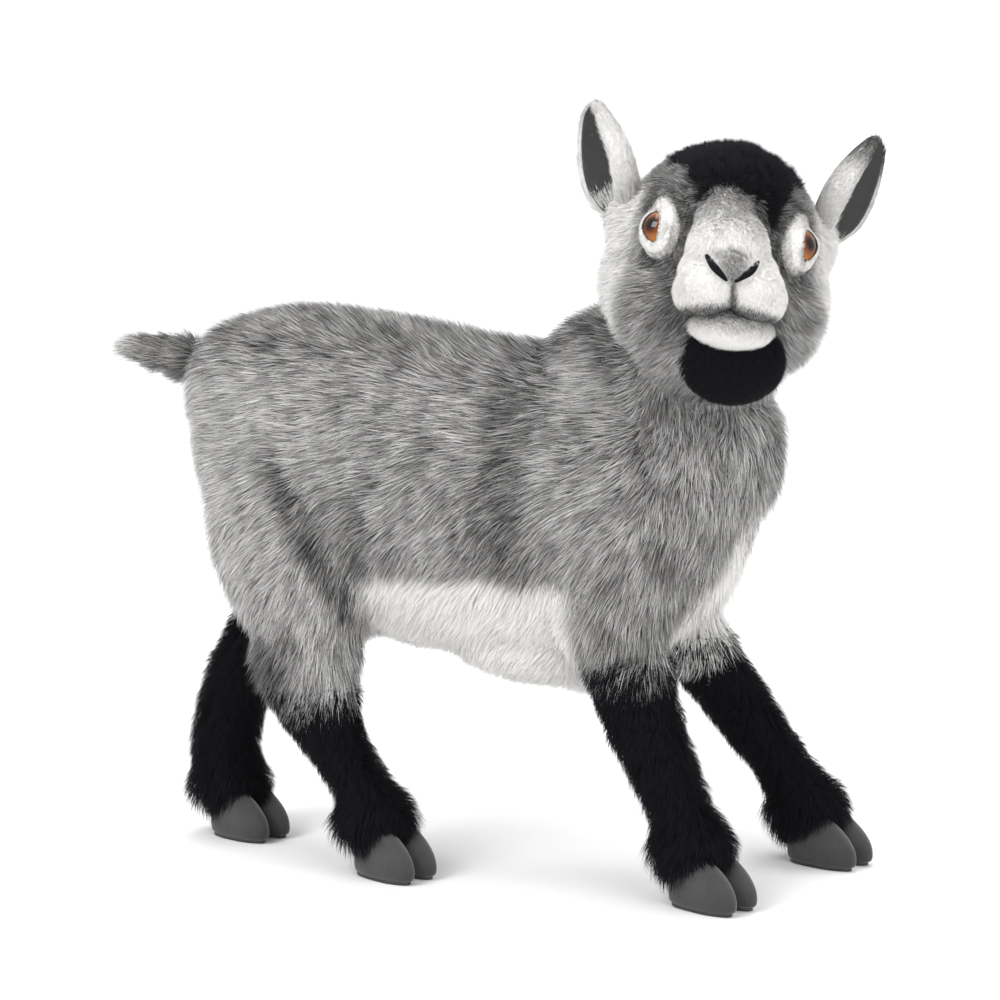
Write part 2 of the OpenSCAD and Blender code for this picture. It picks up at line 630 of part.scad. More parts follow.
// Nostrils and the groove under them, stitched with thick thread on the front of the muzzle
thread_d = 1.4;
nostril_tilt = 48;
nostril_len = 8;
nostril_v = 6;
nose_rise = 29;
module nose_stitching() {
    u = face_u + face_gap + muzzle_len + thread_d / 2 + 0.1;
    color("#1a1a1c") placed() head_frame() {
        for (side = [-1, 1])
            translate([u, side * nostril_v, seat_z + nose_rise]) rotate([-side * nostril_tilt, 0, 0])
                cylinder(d = thread_d, h = nostril_len, center = true, $fn = round_n);
        translate([u, 0, seat_z + nose_rise - 17]) cylinder(d = thread_d, h = 11, $fn = round_n);
    }
}
patch_w = 21;
patch_h = 29;
module eye_patch(side) {
    color("#f2f0ec") placed() difference() {
        at_eye(side) translate([0, 0, patch_lift]) linear_extrude(patch_t)
            polygon([for (j = [0 : 23]) [patch_h / 2 * cos(j * 15), patch_w / 2 * sin(j * 15)]]);
        eye_bore(side);
    }
}
module eye_patch_right() eye_patch(1);
module eye_patch_left() eye_patch(-1);
// A domed eye on a shank that a washer locks behind the panel
module eye(side) {
    color("#a4520f") placed() at_eye(side) {
        translate([0, 0, eye_seat]) intersection() {
            translate([0, 0, dome_h - eye_r]) sphere(r = eye_r, $fn = fine_n);
            cylinder(r = eye_d, h = eye_d, $fn = fine_n);
        }
        translate([0, 0, -shank_len]) cylinder(d = shank_d, h = shank_len + eye_seat + 0.5, $fn = round_n);
    }
}
module eye_right() eye(1);
module eye_left() eye(-1);
module eye_washer(side) {
    color("#e8e8e4") placed() at_eye(side) translate([0, 0, -washer_depth - washer_t]) difference() {
        cylinder(d = washer_d, h = washer_t, $fn = fine_n);
        translate([0, 0, -1]) cylinder(d = shank_d + 0.2, h = washer_t + 2, $fn = round_n);
    }
}
module eye_washer_right() eye_washer(1);
module eye_washer_left() eye_washer(-1);

// Ears stand on the side of the crown; rows: share of the length, share of the width
EAR_SHAPE = [
    [0.04, 0.42], [0.14, 0.70], [0.28, 0.93], [0.42, 1.00], [0.56, 0.96],
    [0.70, 0.82], [0.84, 0.56], [0.94, 0.30], [1.00, 0.12]
];
ear_u = 24;
ear_a = 50;
ear_lift = 5;
ear_lean = 34;
ear_turn = 70;
ear_cup = 0.34;
ear_back_t = 2.4;
lining_t = 1.2;
ear_steps = 8;
function ear_root(side) = head_point_at(ear_u, side * ear_a, -ear_lift);
// The lining is smaller than the back by these, and lies this far in front of it
lining_share = 0.84;
lining_len_share = 0.94;
lining_rise = 1.5;
lining_gap = 1.1;
function ear_sheet(depth, share, len_share, rise) = [
    for (r = EAR_SHAPE) [for (k = [0 : ear_steps]) let (c = 2 * k / ear_steps - 1)
        [depth - ear_cup * ear_w * r[1] * (1 - c * c), c * ear_w * r[1] * share / 2,
         r[0] * ear_len * len_share + rise]]
];
function lining_sheet(depth) = ear_sheet(depth, lining_share, lining_len_share, lining_rise);
module at_ear(side) {
    head_frame() translate(ear_root(side)) rotate([side * ear_lean, 0, 0]) rotate([0, 0, -side * ear_turn])
        children();
}
module ear_back(side) {
    color("#c9c7c4") placed() at_ear(side)
        panel_solid(ear_sheet(0, 1, 1, 0), ear_sheet(-ear_back_t, 1, 1, 0));
}
module ear_lining(side) {
    color("#3a3a3d") placed() at_ear(side)
        panel_solid(lining_sheet(lining_t + lining_gap), lining_sheet(lining_gap));
}
module ear_back_right() ear_back(1);
module ear_back_left() ear_back(-1);
module ear_lining_right() ear_lining(1);
module ear_lining_left() ear_lining(-1);

// ---------- tail ----------

tail_gap = 2;
tail_x = torso_back - tail_gap - tail_r;
tail_z = belly_z + 0.855 * torso_h;
tail_rise = 0.10;
tail_n = 16;
// Place along the tail and radius
TAIL_SHAPE = [[-0.80 * tail_r, 0.55], [-0.45 * tail_r, 0.87], [0, 1], [0.35 * tail_len, 0.92],
    [0.70 * tail_len, 0.68], [0.92 * tail_len, 0.42]];
function tail_ring(s, r) = [for (j = [0 : tail_n - 1]) let (a = j * 360 / tail_n)
    [tail_x - s, r * sin(a), tail_z + tail_rise * max(0, s) + r * cos(a)]];
module tail_fur() {
    hole = wire_d / 2 + skin_gap;
    color("#7b7978") placed() tube_solid([for (r = TAIL_SHAPE) tail_ring(r[0], r[1] * tail_r)],
        [for (r = TAIL_SHAPE) tail_ring(r[0], hole)]);
}
module tail_wire() {
    color("#9aa0a6") placed()
        loft_solid([for (k = [0 : len(TAIL_SHAPE) - 2]) tail_ring(TAIL_SHAPE[k][0], wire_d / 2)]);
}

// Ends of the standing object: tail tip, left ear's tip, muzzle and the left foreleg's cuff
ear_out = ear_root(-1)[1] + ear_len * sin(ear_lean);
ear_up = ear_root(-1)[2] + ear_len * cos(ear_lean) - neck_z;
box_back = tail_x - TAIL_SHAPE[len(TAIL_SHAPE) - 1][0];
box_front = neck_x + ear_u * cos(head_yaw)
    - (ear_out * cos(head_roll) + ear_up * sin(head_roll)) * sin(head_yaw);
box_right = (face_u + face_gap + muzzle_len) * sin(head_yaw) - 0.075 * muzzle_w;
box_left = max([for (r = FORE_LEFT) r[2] + r[4]]);

torso_stuffing();
flank_fur_right();
flank_fur_left();
shoulder_fur_right();
shoulder_fur_left();
belly_fur();
spine_wire();
neck_fur();
neck_stuffing();
neck_wire();
upper_foreleg_fur_right();
upper_foreleg_fur_left();
haunch_fur_right();
haunch_fur_left();
foreleg_stuffing_right();
foreleg_stuffing_left();
hind_leg_stuffing_right();
hind_leg_stuffing_left();
foreleg_sock_right();
foreleg_sock_left();
hind_leg_sock_right();
hind_leg_sock_left();
foreleg_wire_right();
foreleg_wire_left();
hind_leg_wire_right();
hind_leg_wire_left();
fore_hoof_right();
fore_hoof_left();
hind_hoof_right();
hind_hoof_left();
fore_sole_right();
fore_sole_left();
hind_sole_right();
hind_sole_left();
head_stuffing();
cheek_fur_right();
cheek_fur_left();
crown_fur();
nape_fur();
jaw_fur();
throat_cloth();
muzzle_pile();
muzzle_stuffing();
lower_lip();
chin_bib();
nose_stitching();
eye_patch_right();
eye_patch_left();
eye_right();
eye_left();
eye_washer_right();
eye_washer_left();
ear_back_right();
ear_back_left();
ear_lining_right();
ear_lining_left();
tail_fur();
tail_wire();
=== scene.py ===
"""Plush goat kid with long grey fur, short black and white pile, suede hooves and amber eyes."""
import logging
import math
from dataclasses import dataclass, field
from enum import Enum
from functools import partial
from typing import Callable, Iterable, Sequence

import bmesh
import bpy
import numpy as np
from mathutils import Matrix, Vector
from mathutils.bvhtree import BVHTree


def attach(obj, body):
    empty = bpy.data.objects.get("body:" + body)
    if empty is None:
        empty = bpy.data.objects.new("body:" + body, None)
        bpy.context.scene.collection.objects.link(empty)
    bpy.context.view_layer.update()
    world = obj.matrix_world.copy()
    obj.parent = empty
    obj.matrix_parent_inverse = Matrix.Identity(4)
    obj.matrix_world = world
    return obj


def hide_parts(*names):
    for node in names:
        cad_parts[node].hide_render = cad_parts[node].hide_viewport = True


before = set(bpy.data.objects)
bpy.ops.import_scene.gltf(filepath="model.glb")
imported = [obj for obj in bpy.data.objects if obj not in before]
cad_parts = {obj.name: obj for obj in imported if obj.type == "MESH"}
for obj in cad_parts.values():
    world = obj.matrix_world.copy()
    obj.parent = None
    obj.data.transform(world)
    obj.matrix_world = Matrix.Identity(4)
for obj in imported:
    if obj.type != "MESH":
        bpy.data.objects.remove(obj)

log = logging.getLogger("goat")
MM = 0.001
Array = np.ndarray
Colour = tuple[float, float, float]
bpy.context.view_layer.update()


# ---------------------------------------------------------------- shader building


class Socket:
    """A node's output that can be used in sums; each operator adds one Math node."""

    def __init__(self, tree: bpy.types.NodeTree, output: bpy.types.NodeSocket) -> None:
        """Wraps one output socket of a tree."""
        self.tree = tree
        self.output = output

    def _math(self, operation: str, first: "Socket | float", second: "Socket | float") -> "Socket":
        """Adds one Math node.

        Args:
            operation: The Math node's operation.
            first: Its first value.
            second: Its second value.

        Returns:
            The node's result.
        """
        node = self.tree.nodes.new("ShaderNodeMath")
        node.operation = operation
        for slot, value in zip(node.inputs, (first, second)):
            if isinstance(value, Socket):
                self.tree.links.new(value.output, slot)
            else:
                slot.default_value = float(value)
        return Socket(self.tree, node.outputs[0])

    def __add__(self, other: "Socket | float") -> "Socket":
        """Sum."""
        return self._math("ADD", self, other)

    def __radd__(self, other: float) -> "Socket":
        """Sum with a number first."""
        return self._math("ADD", other, self)

    def __sub__(self, other: "Socket | float") -> "Socket":
        """Difference."""
        return self._math("SUBTRACT", self, other)

    def __rsub__(self, other: float) -> "Socket":
        """Difference from a number."""
        return self._math("SUBTRACT", other, self)

    def __mul__(self, other: "Socket | float") -> "Socket":
        """Product."""
        return self._math("MULTIPLY", self, other)

    def __rmul__(self, other: float) -> "Socket":
        """Product with a number first."""
        return self._math("MULTIPLY", other, self)

    def __truediv__(self, other: "Socket | float") -> "Socket":
        """Quotient."""
        return self._math("DIVIDE", self, other)

    def __pow__(self, other: float) -> "Socket":
        """Power."""
        return self._math("POWER", self, other)

    def at_least(self, other: "Socket | float") -> "Socket":
        """The larger of the two."""
        return self._math("MAXIMUM", self, other)

    def at_most(self, other: "Socket | float") -> "Socket":
        """The smaller of the two."""
        return self._math("MINIMUM", self, other)


class Shader:
    """A material under construction, with one Principled shader."""

    def __init__(self, name: str) -> None:
        """Starts an empty material of that name.

        Args:
            name: Its name.
        """
        self.material = bpy.data.materials.new(name)
        self.material.use_nodes = True
        self.tree = self.material.node_tree
        self.tree.nodes.clear()
        output = self.tree.nodes.new("ShaderNodeOutputMaterial")
        self.surface = self.tree.nodes.new("ShaderNodeBsdfPrincipled")
        self.tree.links.new(self.surface.outputs[0], output.inputs["Surface"])

    def node(self, kind: str, settings: dict | None = None, out: str | int = 0, **sockets: object) -> Socket:
        """Adds any other node.

        Args:
            kind: The node's type.
            settings: Its own properties, and "stops" for a colour ramp.
            out: Name or number of the output that is used.
            sockets: Values or links of its inputs, with _ for a space in a name.

        Returns:
            The chosen output.
        """
        made = self.tree.nodes.new(kind)
        for key, value in (settings or {}).items():
            if key == "stops":
                self._stops(made, value)
            else:
                setattr(made, key, value)
        for key, value in sockets.items():
            self._plug(made.inputs[int(key[1:]) if key[1:].isdigit() else key.replace("_", " ")], value)
        return Socket(self.tree, made.outputs[out])

    def _stops(self, ramp: bpy.types.Node, stops: Sequence[tuple[float, Colour]]) -> None:
        """Gives a colour ramp its stops.

        Args:
            ramp: The ramp's node.
            stops: Place and colour of each stop.
        """
        elements = ramp.color_ramp.elements
        while len(elements) < len(stops):
            elements.new(1.0)
        for element, (place, colour) in zip(elements, stops):
            element.position = place
            element.color = (*colour, 1.0)

    def _plug(self, slot: bpy.types.NodeSocket, value: object) -> None:
        """Links or sets one input.

        Args:
            slot: The input.
            value: What it gets.
        """
        if isinstance(value, Socket):
            self.tree.links.new(value.output, slot)
        elif isinstance(value, tuple) and len(value) == 3 and slot.type == "RGBA":
            slot.default_value = (*value, 1.0)
        else:
            slot.default_value = value

    def place(self) -> Socket:
        """The object's own coordinates, in metres."""
        return self.node("ShaderNodeTexCoord", out="Object")

    def noise(self, size: float, detail: float = 3.0, place: Socket | None = None) -> Socket:
        """Noise whose patches are about size metres across."""
        where = place or self.place()
        return self.node("ShaderNodeTexNoise", out="Fac", Vector=where, Scale=1.0 / size, Detail=detail)

    def mix(self, factor: Socket | float, first: Socket | Colour, second: Socket | Colour) -> Socket:
        """Colour mix: first at 0 and second at 1."""
        return self.node("ShaderNodeMix", {"data_type": "RGBA"}, 2, _0=factor, _6=first, _7=second)

    def ramp(self, factor: Socket, stops: Sequence[tuple[float, Colour]]) -> Socket:
        """Colour ramp over a value."""
        return self.node("ShaderNodeValToRGB", {"stops": stops}, "Color", Fac=factor)

    def bump(self, height: Socket, strength: float, distance: float) -> Socket:
        """Normal from a height in metres."""
        return self.node("ShaderNodeBump", None, "Normal", Strength=strength, Distance=distance, Height=height)

    def finish(self, **sockets: object) -> bpy.types.Material:
        """Sets the Principled shader's inputs and returns the material.

        Returns:
            The material.
        """
        for key, value in sockets.items():
            self._plug(self.surface.inputs[key.replace("_", " ")], value)
        return self.material


UV_NAME = "OFBake"


def grey(value: float, warmth: float = 0.0) -> Colour:
    """A grey, a little warmer for a positive warmth."""
    return (value * (1 + warmth), value, value * (1 - warmth))


@dataclass(frozen=True)
class PileFinish:
    """Fibres whose colour runs from root to tip; each fibre's tone is 0 for black and 1 for ivory white."""

    name: str = "pile"
    roughness: float = 0.70
    sheen: float = 0.04
    gloss: float = 0.22
    root_stops: tuple = (
        (0.00, (0.0020, 0.0021, 0.0028)), (0.10, grey(0.006)), (0.18, grey(0.016, 0.05)),
        (0.40, grey(0.055, 0.05)), (0.62, grey(0.19, 0.03)), (0.82, grey(0.50, 0.02)),
        (1.00, (0.80, 0.785, 0.75)),
    )
    tip_stops: tuple = (
        (0.00, (0.0030, 0.0034, 0.0052)), (0.10, (0.013, 0.014, 0.019)), (0.18, grey(0.065, 0.05)),
        (0.40, grey(0.36, 0.02)), (0.62, grey(0.68, 0.01)), (0.82, grey(0.80, 0.01)),
        (1.00, (0.93, 0.92, 0.90)),
    )

    def material(self) -> bpy.types.Material:
        """Builds the finish: u runs along the fibre, and v is its tone.

        Returns:
            The material.
        """
        shader = Shader(self.name)
        uv = shader.node("ShaderNodeUVMap", {"uv_map": UV_NAME})
        split = shader.node("ShaderNodeSeparateXYZ", None, "X", Vector=uv)
        tone = Socket(shader.tree, split.output.node.outputs["Y"])
        root = shader.ramp(tone, self.root_stops)
        tip = shader.ramp(tone, self.tip_stops)
        colour = shader.mix(split ** 1.15, root, tip)
        return shader.finish(Base_Color=colour, Roughness=self.roughness, Specular_IOR_Level=self.gloss,
                             Sheen_Weight=self.sheen, Sheen_Roughness=0.4)


@dataclass(frozen=True)
class SuedeFinish:
    """Brushed suede cloth with darker random mottling, and painted shade that darkens it low down towards the
    floor.
    """

    name: str
    pale: Colour
    dark: Colour
    floor_shade_height: float
    soft: float

    def material(self) -> bpy.types.Material:
        """Builds the finish.

        Returns:
            The material.
        """
        shader = Shader(self.name)
        place = shader.place()
        height = shader.node("ShaderNodeSeparateXYZ", None, "Z", Vector=place)
        # painted shade: the cloth darkens below a set height, towards the floor
        low = ((self.floor_shade_height - height) / self.soft).at_least(0.0).at_most(1.0)
        brushed = shader.noise(0.0045, 5.0, place)
        fibre = shader.noise(0.0004, 2.0, place)
        shade = (low * 0.55 + brushed * 0.55 + fibre * 0.25 - 0.15).at_least(0.0).at_most(1.0)
        weave_x = shader.node("ShaderNodeTexWave", {"bands_direction": "X"}, "Fac", Vector=place, Scale=420.0,
                              Distortion=2.0, Detail=1.0)
        weave_z = shader.node("ShaderNodeTexWave", {"bands_direction": "Z"}, "Fac", Vector=place, Scale=420.0,
                              Distortion=2.0, Detail=1.0)
        relief = weave_x * weave_z * 0.5 + fibre
        return shader.finish(
            Base_Color=shader.mix(shade, self.pale, self.dark),
            Roughness=0.88,
            Sheen_Weight=0.35,
            Sheen_Roughness=0.5,
            Normal=shader.bump(relief, 0.35, 0.0004),
        )


@dataclass(frozen=True)
class LeatherFinish:
    """Smooth dark leather of the soles."""

    name: str = "sole_leather"

    def material(self) -> bpy.types.Material:
        """Builds the finish.

        Returns:
            The material.
        """
        shader = Shader(self.name)
        place = shader.place()
        grain = shader.node("ShaderNodeTexVoronoi", None, "Distance", Vector=place, Scale=1400.0)
        scuff = shader.noise(0.006, 5.0, place)
        return shader.finish(
            Base_Color=shader.mix(scuff, (0.014, 0.012, 0.011), (0.05, 0.045, 0.04)),
            Roughness=0.28 + scuff * 0.3,
            Normal=shader.bump(grain, 0.3, 0.0003),
        )


@dataclass(frozen=True)
class EyeFinish:
    """Amber plastic with a dark pupil and a dark rim, under a clear coat."""

    name: str
    centre: Vector
    axis: Vector
    radius: float
    pupil: float

    def material(self) -> bpy.types.Material:
        """Builds the finish from the distance to the eye's own axis.

        Returns:
            The material.
        """
        shader = Shader(self.name)
        place = shader.place()
        out = shader.node("ShaderNodeVectorMath", {"operation": "SUBTRACT"}, 0,
                          _0=place, _1=tuple(self.centre))
        cross = shader.node("ShaderNodeVectorMath", {"operation": "CROSS_PRODUCT"}, 0,
                            _0=out, _1=tuple(self.axis))
        reach = shader.node("ShaderNodeVectorMath", {"operation": "LENGTH"}, "Value", _0=cross)
        share = reach / self.radius
        streak = shader.noise(0.0009, 3.0, place)
        iris = shader.ramp(share + (streak - 0.5) * 0.10, (
            (0.00, (0.002, 0.0015, 0.001)), (self.pupil - 0.04, (0.003, 0.002, 0.001)),
            (self.pupil + 0.06, (0.045, 0.010, 0.001)), (0.62, (0.20, 0.052, 0.002)),
            (0.84, (0.33, 0.105, 0.003)), (0.93, (0.08, 0.018, 0.002)), (1.00, (0.004, 0.003, 0.002)),
        ))
        return shader.finish(Base_Color=iris, Roughness=0.15, Specular_IOR_Level=0.15, Coat_Weight=0.6,
                             Coat_Roughness=0.02, IOR=1.5)


@dataclass(frozen=True)
class ThreadFinish:
    """Twisted thread or another plain dyed cloth."""

    name: str
    low: Colour
    high: Colour
    roughness: float = 0.8
    metallic: float = 0.0
    shine: float = 0.5

    def material(self) -> bpy.types.Material:
        """Builds the finish.

        Returns:
            The material.
        """
        shader = Shader(self.name)
        place = shader.place()
        twist = shader.node("ShaderNodeTexWave", {"bands_direction": "DIAGONAL"}, "Fac", Vector=place,
                            Scale=300.0, Distortion=1.0, Detail=2.0)
        spots = shader.noise(0.002, 3.0, place)
        return shader.finish(
            Base_Color=shader.mix(spots, self.low, self.high),
            Roughness=self.roughness,
            Metallic=self.metallic,
            Specular_IOR_Level=self.shine,
            Normal=shader.bump(twist, 0.3, 0.0003),
        )


# ---------------------------------------------------------------- shapes and fields


def spline_rows(rows: Array, steps: int) -> Array:
    """Catmull-Rom rows between the given ones.

    Args:
        rows: One row of numbers for each station.
        steps: Rows made from each gap.

    Returns:
        The finer table.
    """
    padded = np.vstack([rows[:1], rows, rows[-1:]])
    share = np.linspace(0, 1, steps, endpoint=False)[:, None]
    made = []
    for i in range(len(rows) - 1):
        a, b, c, d = padded[i:i + 4]
        made.append(0.5 * (2 * b + (c - a) * share + (2 * a - 5 * b + 4 * c - d) * share ** 2
                           + (3 * b - a - 3 * c + d) * share ** 3))
    return np.vstack([*made, rows[-1:]])


def lifted(value: Array, power: float) -> Array:
    """Signed power, for rounded-square sections."""
    return np.sign(value) * np.abs(value) ** power


def unit(vectors: Array) -> Array:
    """Vectors scaled to a length of one."""
    return vectors / np.maximum(np.linalg.norm(vectors, axis=-1, keepdims=True), 1e-9)


def step(value: Array, low: float, high: float) -> Array:
    """Smooth change from 0 at low to 1 at high; low may be the larger."""
    t = np.clip((value - low) / (high - low), 0, 1)
    return t * t * (3 - 2 * t)


def waves(points: Array, size: float, seed: int) -> Array:
    """Smooth noise from about -1 to 1 whose patches are about size across.

    Args:
        points: Places, in millimetres.
        size: Patch size, in millimetres.
        seed: Which pattern.

    Returns:
        One value for each place.
    """
    random = np.random.default_rng(seed)
    total = np.zeros(len(points))
    for k in range(7):
        direction = unit(random.normal(size=3))
        pitch = size * random.uniform(0.7, 1.6)
        total += np.sin(points @ direction * (2 * math.pi / pitch) + random.uniform(0, 6.28))
    return total / 3.0


@dataclass
class Skin:
    """A triangle surface, in millimetres in the object's frame."""

    points: Array
    triangles: Array
    normals: Array

    @classmethod
    def of(cls, obj: bpy.types.Object) -> "Skin":
        """Reads an object's mesh, which is in metres.

        Args:
            obj: The object, with its mesh in metres.

        Returns:
            The surface.
        """
        mesh = obj.data
        mesh.calc_loop_triangles()
        points = np.empty(len(mesh.vertices) * 3)
        mesh.vertices.foreach_get("co", points)
        normals = np.empty(len(mesh.vertices) * 3)
        mesh.vertices.foreach_get("normal", normals)
        triangles = np.empty(len(mesh.loop_triangles) * 3, dtype=np.int32)
        mesh.loop_triangles.foreach_get("vertices", triangles)
        return cls(points.reshape(-1, 3) / MM, triangles.reshape(-1, 3), normals.reshape(-1, 3))

    def scatter(self, count: int, seed: int) -> tuple[Array, Array]:
        """Random places spread evenly over the surface.

        Args:
            count: How many.
            seed: Which spread.

        Returns:
            The places and the surface's normals there.
        """
        random = np.random.default_rng(seed)
        a, b, c = (self.points[self.triangles[:, k]] for k in range(3))
        area = np.linalg.norm(np.cross(b - a, c - a), axis=1)
        chosen = random.choice(len(area), size=count, p=area / area.sum())
        s, t = np.sqrt(random.random(count)), random.random(count)
        weights = np.stack([1 - s, s * (1 - t), s * t], axis=1)[:, :, None]
        corners = self.triangles[chosen]
        return (self.points[corners] * weights).sum(1), unit((self.normals[corners] * weights).sum(1))

    def tree(self) -> BVHTree:
        """The surface in metres, for rays that look for it."""
        return BVHTree.FromPolygons([Vector(p * MM) for p in self.points], self.triangles.tolist())

    def area(self) -> float:
        """Surface area in square millimetres."""
        a, b, c = (self.points[self.triangles[:, k]] for k in range(3))
        return float(np.linalg.norm(np.cross(b - a, c - a), axis=1).sum() / 2)


def mesh_object(name: str, points: Array, faces: Iterable[Sequence[int]]) -> bpy.types.Object:
    """Makes an object from points in millimetres and faces.

    Args:
        name: Its name.
        points: Places, in millimetres in the body's frame.
        faces: Corner numbers of each face.

    Returns:
        The object, in drawing coordinates.
    """
    mesh = bpy.data.meshes.new(name)
    mesh.from_pydata([tuple(p) for p in np.asarray(points) * MM], [], [tuple(int(i) for i in f) for f in faces])
    mesh.validate()
    obj = bpy.data.objects.new(name, mesh)
    bpy.context.scene.collection.objects.link(obj)
    return obj


def tube_faces(rows: int, around: int, capped: bool = True) -> list[tuple[int, ...]]:
    """Faces of rings that close around, with flat ends where capped.

    Args:
        rows: Number of rings or rows.
        around: Points of one ring.
        capped: Whether both ends get a face.

    Returns:
        Corner numbers of each face.
    """
    faces = [(i * around + j, i * around + (j + 1) % around,
              (i + 1) * around + (j + 1) % around, (i + 1) * around + j)
             for i in range(rows - 1) for j in range(around)]
    if capped:
        faces.append(tuple(range(around - 1, -1, -1)))
        faces.append(tuple(range((rows - 1) * around, rows * around)))
    return faces


def apply_modifiers(obj: bpy.types.Object) -> None:
    """Replaces the object's mesh by its modified one.

    Args:
        obj: The object, with its mesh in metres.
    """
    graph = bpy.context.evaluated_depsgraph_get()
    made = bpy.data.meshes.new_from_object(obj.evaluated_get(graph))
    obj.modifiers.clear()
    old, obj.data = obj.data, made
    bpy.data.meshes.remove(old)


def fused(name: str, parts: Sequence[bpy.types.Object], voxel: float, smooth: int) -> bpy.types.Object:
    """Joins closed shapes into one smooth skin.

    Args:
        name: Name of the skin.
        parts: Closed shapes that overlap; they are used up.
        voxel: Size of a cell, in millimetres.
        smooth: Smoothing passes.

    Returns:
        The skin.
    """
    form = bmesh.new()
    for part in parts:
        form.from_mesh(part.data)
        data = part.data
        bpy.data.objects.remove(part)
        bpy.data.meshes.remove(data)
    mesh = bpy.data.meshes.new(name)
    form.to_mesh(mesh)
    form.free()
    obj = bpy.data.objects.new(name, mesh)
    bpy.context.scene.collection.objects.link(obj)
    remesh = obj.modifiers.new("cells", "REMESH")
    remesh.mode = "VOXEL"
    remesh.voxel_size = voxel * MM
    remesh.use_smooth_shade = True
    if smooth:
        soften = obj.modifiers.new("soften", "SMOOTH")
        soften.factor = 0.5
        soften.iterations = smooth
    apply_modifiers(obj)
    return obj


def ellipsoid(centre: Sequence[float], radii: Sequence[float], tilt: float = 0.0,
              rings: int = 20) -> bpy.types.Object:
    """A closed egg shape in millimetres, tilted about the sideways axis by tilt degrees.

    Args:
        centre: Middle, in millimetres.
        radii: Half sizes.
        tilt: Degrees about the sideways axis.
        rings: How finely it is divided.

    Returns:
        The object, in drawing coordinates.
    """
    angles = np.linspace(0, math.pi, rings)[1:-1]
    around = np.linspace(0, 2 * math.pi, rings * 2, endpoint=False)
    points = [[0, 0, -1]]
    for a in angles:
        points += [[math.sin(a) * math.cos(b), math.sin(a) * math.sin(b), -math.cos(a)] for b in around]
    points.append([0, 0, 1])
    n, rows = len(around), len(angles)
    faces = [(1 + i * n + j, 1 + i * n + (j + 1) % n, 1 + (i + 1) * n + (j + 1) % n, 1 + (i + 1) * n + j)
             for i in range(rows - 1) for j in range(n)]
    faces += [(0, 1 + (j + 1) % n, 1 + j) for j in range(n)]
    top = len(points) - 1
    faces += [(top, top - n + j, top - n + (j + 1) % n) for j in range(n)]
    spun = np.array(points) * np.array(radii)
    c, s = math.cos(math.radians(tilt)), math.sin(math.radians(tilt))
    turn = np.array([[c, 0, s], [0, 1, 0], [-s, 0, c]])
    return mesh_object("lump", spun @ turn.T + np.array(centre), faces)


# ---------------------------------------------------------------- frames

# The drawing is made about the body's middle plane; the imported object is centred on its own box
CENTRING = np.array([7.30256, 19.3063, 0.0])


@dataclass(frozen=True)
class HeadFrame:
    """The head's own frame: u forward, v to the animal's left and z up, turned and tilted on the neck."""

    neck_x: float = 96.0
    neck_z: float = 250.0
    yaw: float = -70.0
    roll: float = 7.0

    def turn(self) -> Array:
        """Rotation from the head's frame to the body's.

        Returns:
            A matrix of three by three.
        """
        y, r = math.radians(self.yaw), math.radians(-self.roll)
        about_z = np.array([[math.cos(y), -math.sin(y), 0], [math.sin(y), math.cos(y), 0], [0, 0, 1]])
        about_x = np.array([[1, 0, 0], [0, math.cos(r), -math.sin(r)], [0, math.sin(r), math.cos(r)]])
        return about_z @ about_x

    def out(self, points: Array) -> Array:
        """Points of the head's frame in the body's frame."""
        seat = np.array([0, 0, self.neck_z])
        return (np.asarray(points, float) - seat) @ self.turn().T + seat + np.array([self.neck_x, 0, 0])

    def place(self, obj: bpy.types.Object) -> None:
        """Moves a mesh drawn in the head's frame to the body's frame.

        Args:
            obj: The object, with its mesh in metres.
        """
        mesh = obj.data
        flat = np.empty(len(mesh.vertices) * 3)
        mesh.vertices.foreach_get("co", flat)
        mesh.vertices.foreach_set("co", (self.out(flat.reshape(-1, 3) / MM) * MM).ravel())
        mesh.update()


HEAD = HeadFrame()


def settle(obj: bpy.types.Object, body: str, material: bpy.types.Material | None = None) -> bpy.types.Object:
    """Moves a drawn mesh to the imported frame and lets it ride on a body.

    Args:
        obj: Mesh in drawing coordinates.
        body: The body that carries it.
        material: Its finish, where it has none yet.

    Returns:
        The same object.
    """
    obj.data.transform(Matrix.Translation(Vector(CENTRING * MM)))
    if material:
        obj.data.materials.clear()
        obj.data.materials.append(material)
    for polygon in obj.data.polygons:
        polygon.use_smooth = True
    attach(obj, body)
    return obj


# ---------------------------------------------------------------- pile

Field = Callable[[Array, Array], Array]


# Height in millimetres that every fibre stays above, so that the socks keep off the floor
FLOOR_GAP = 0.4


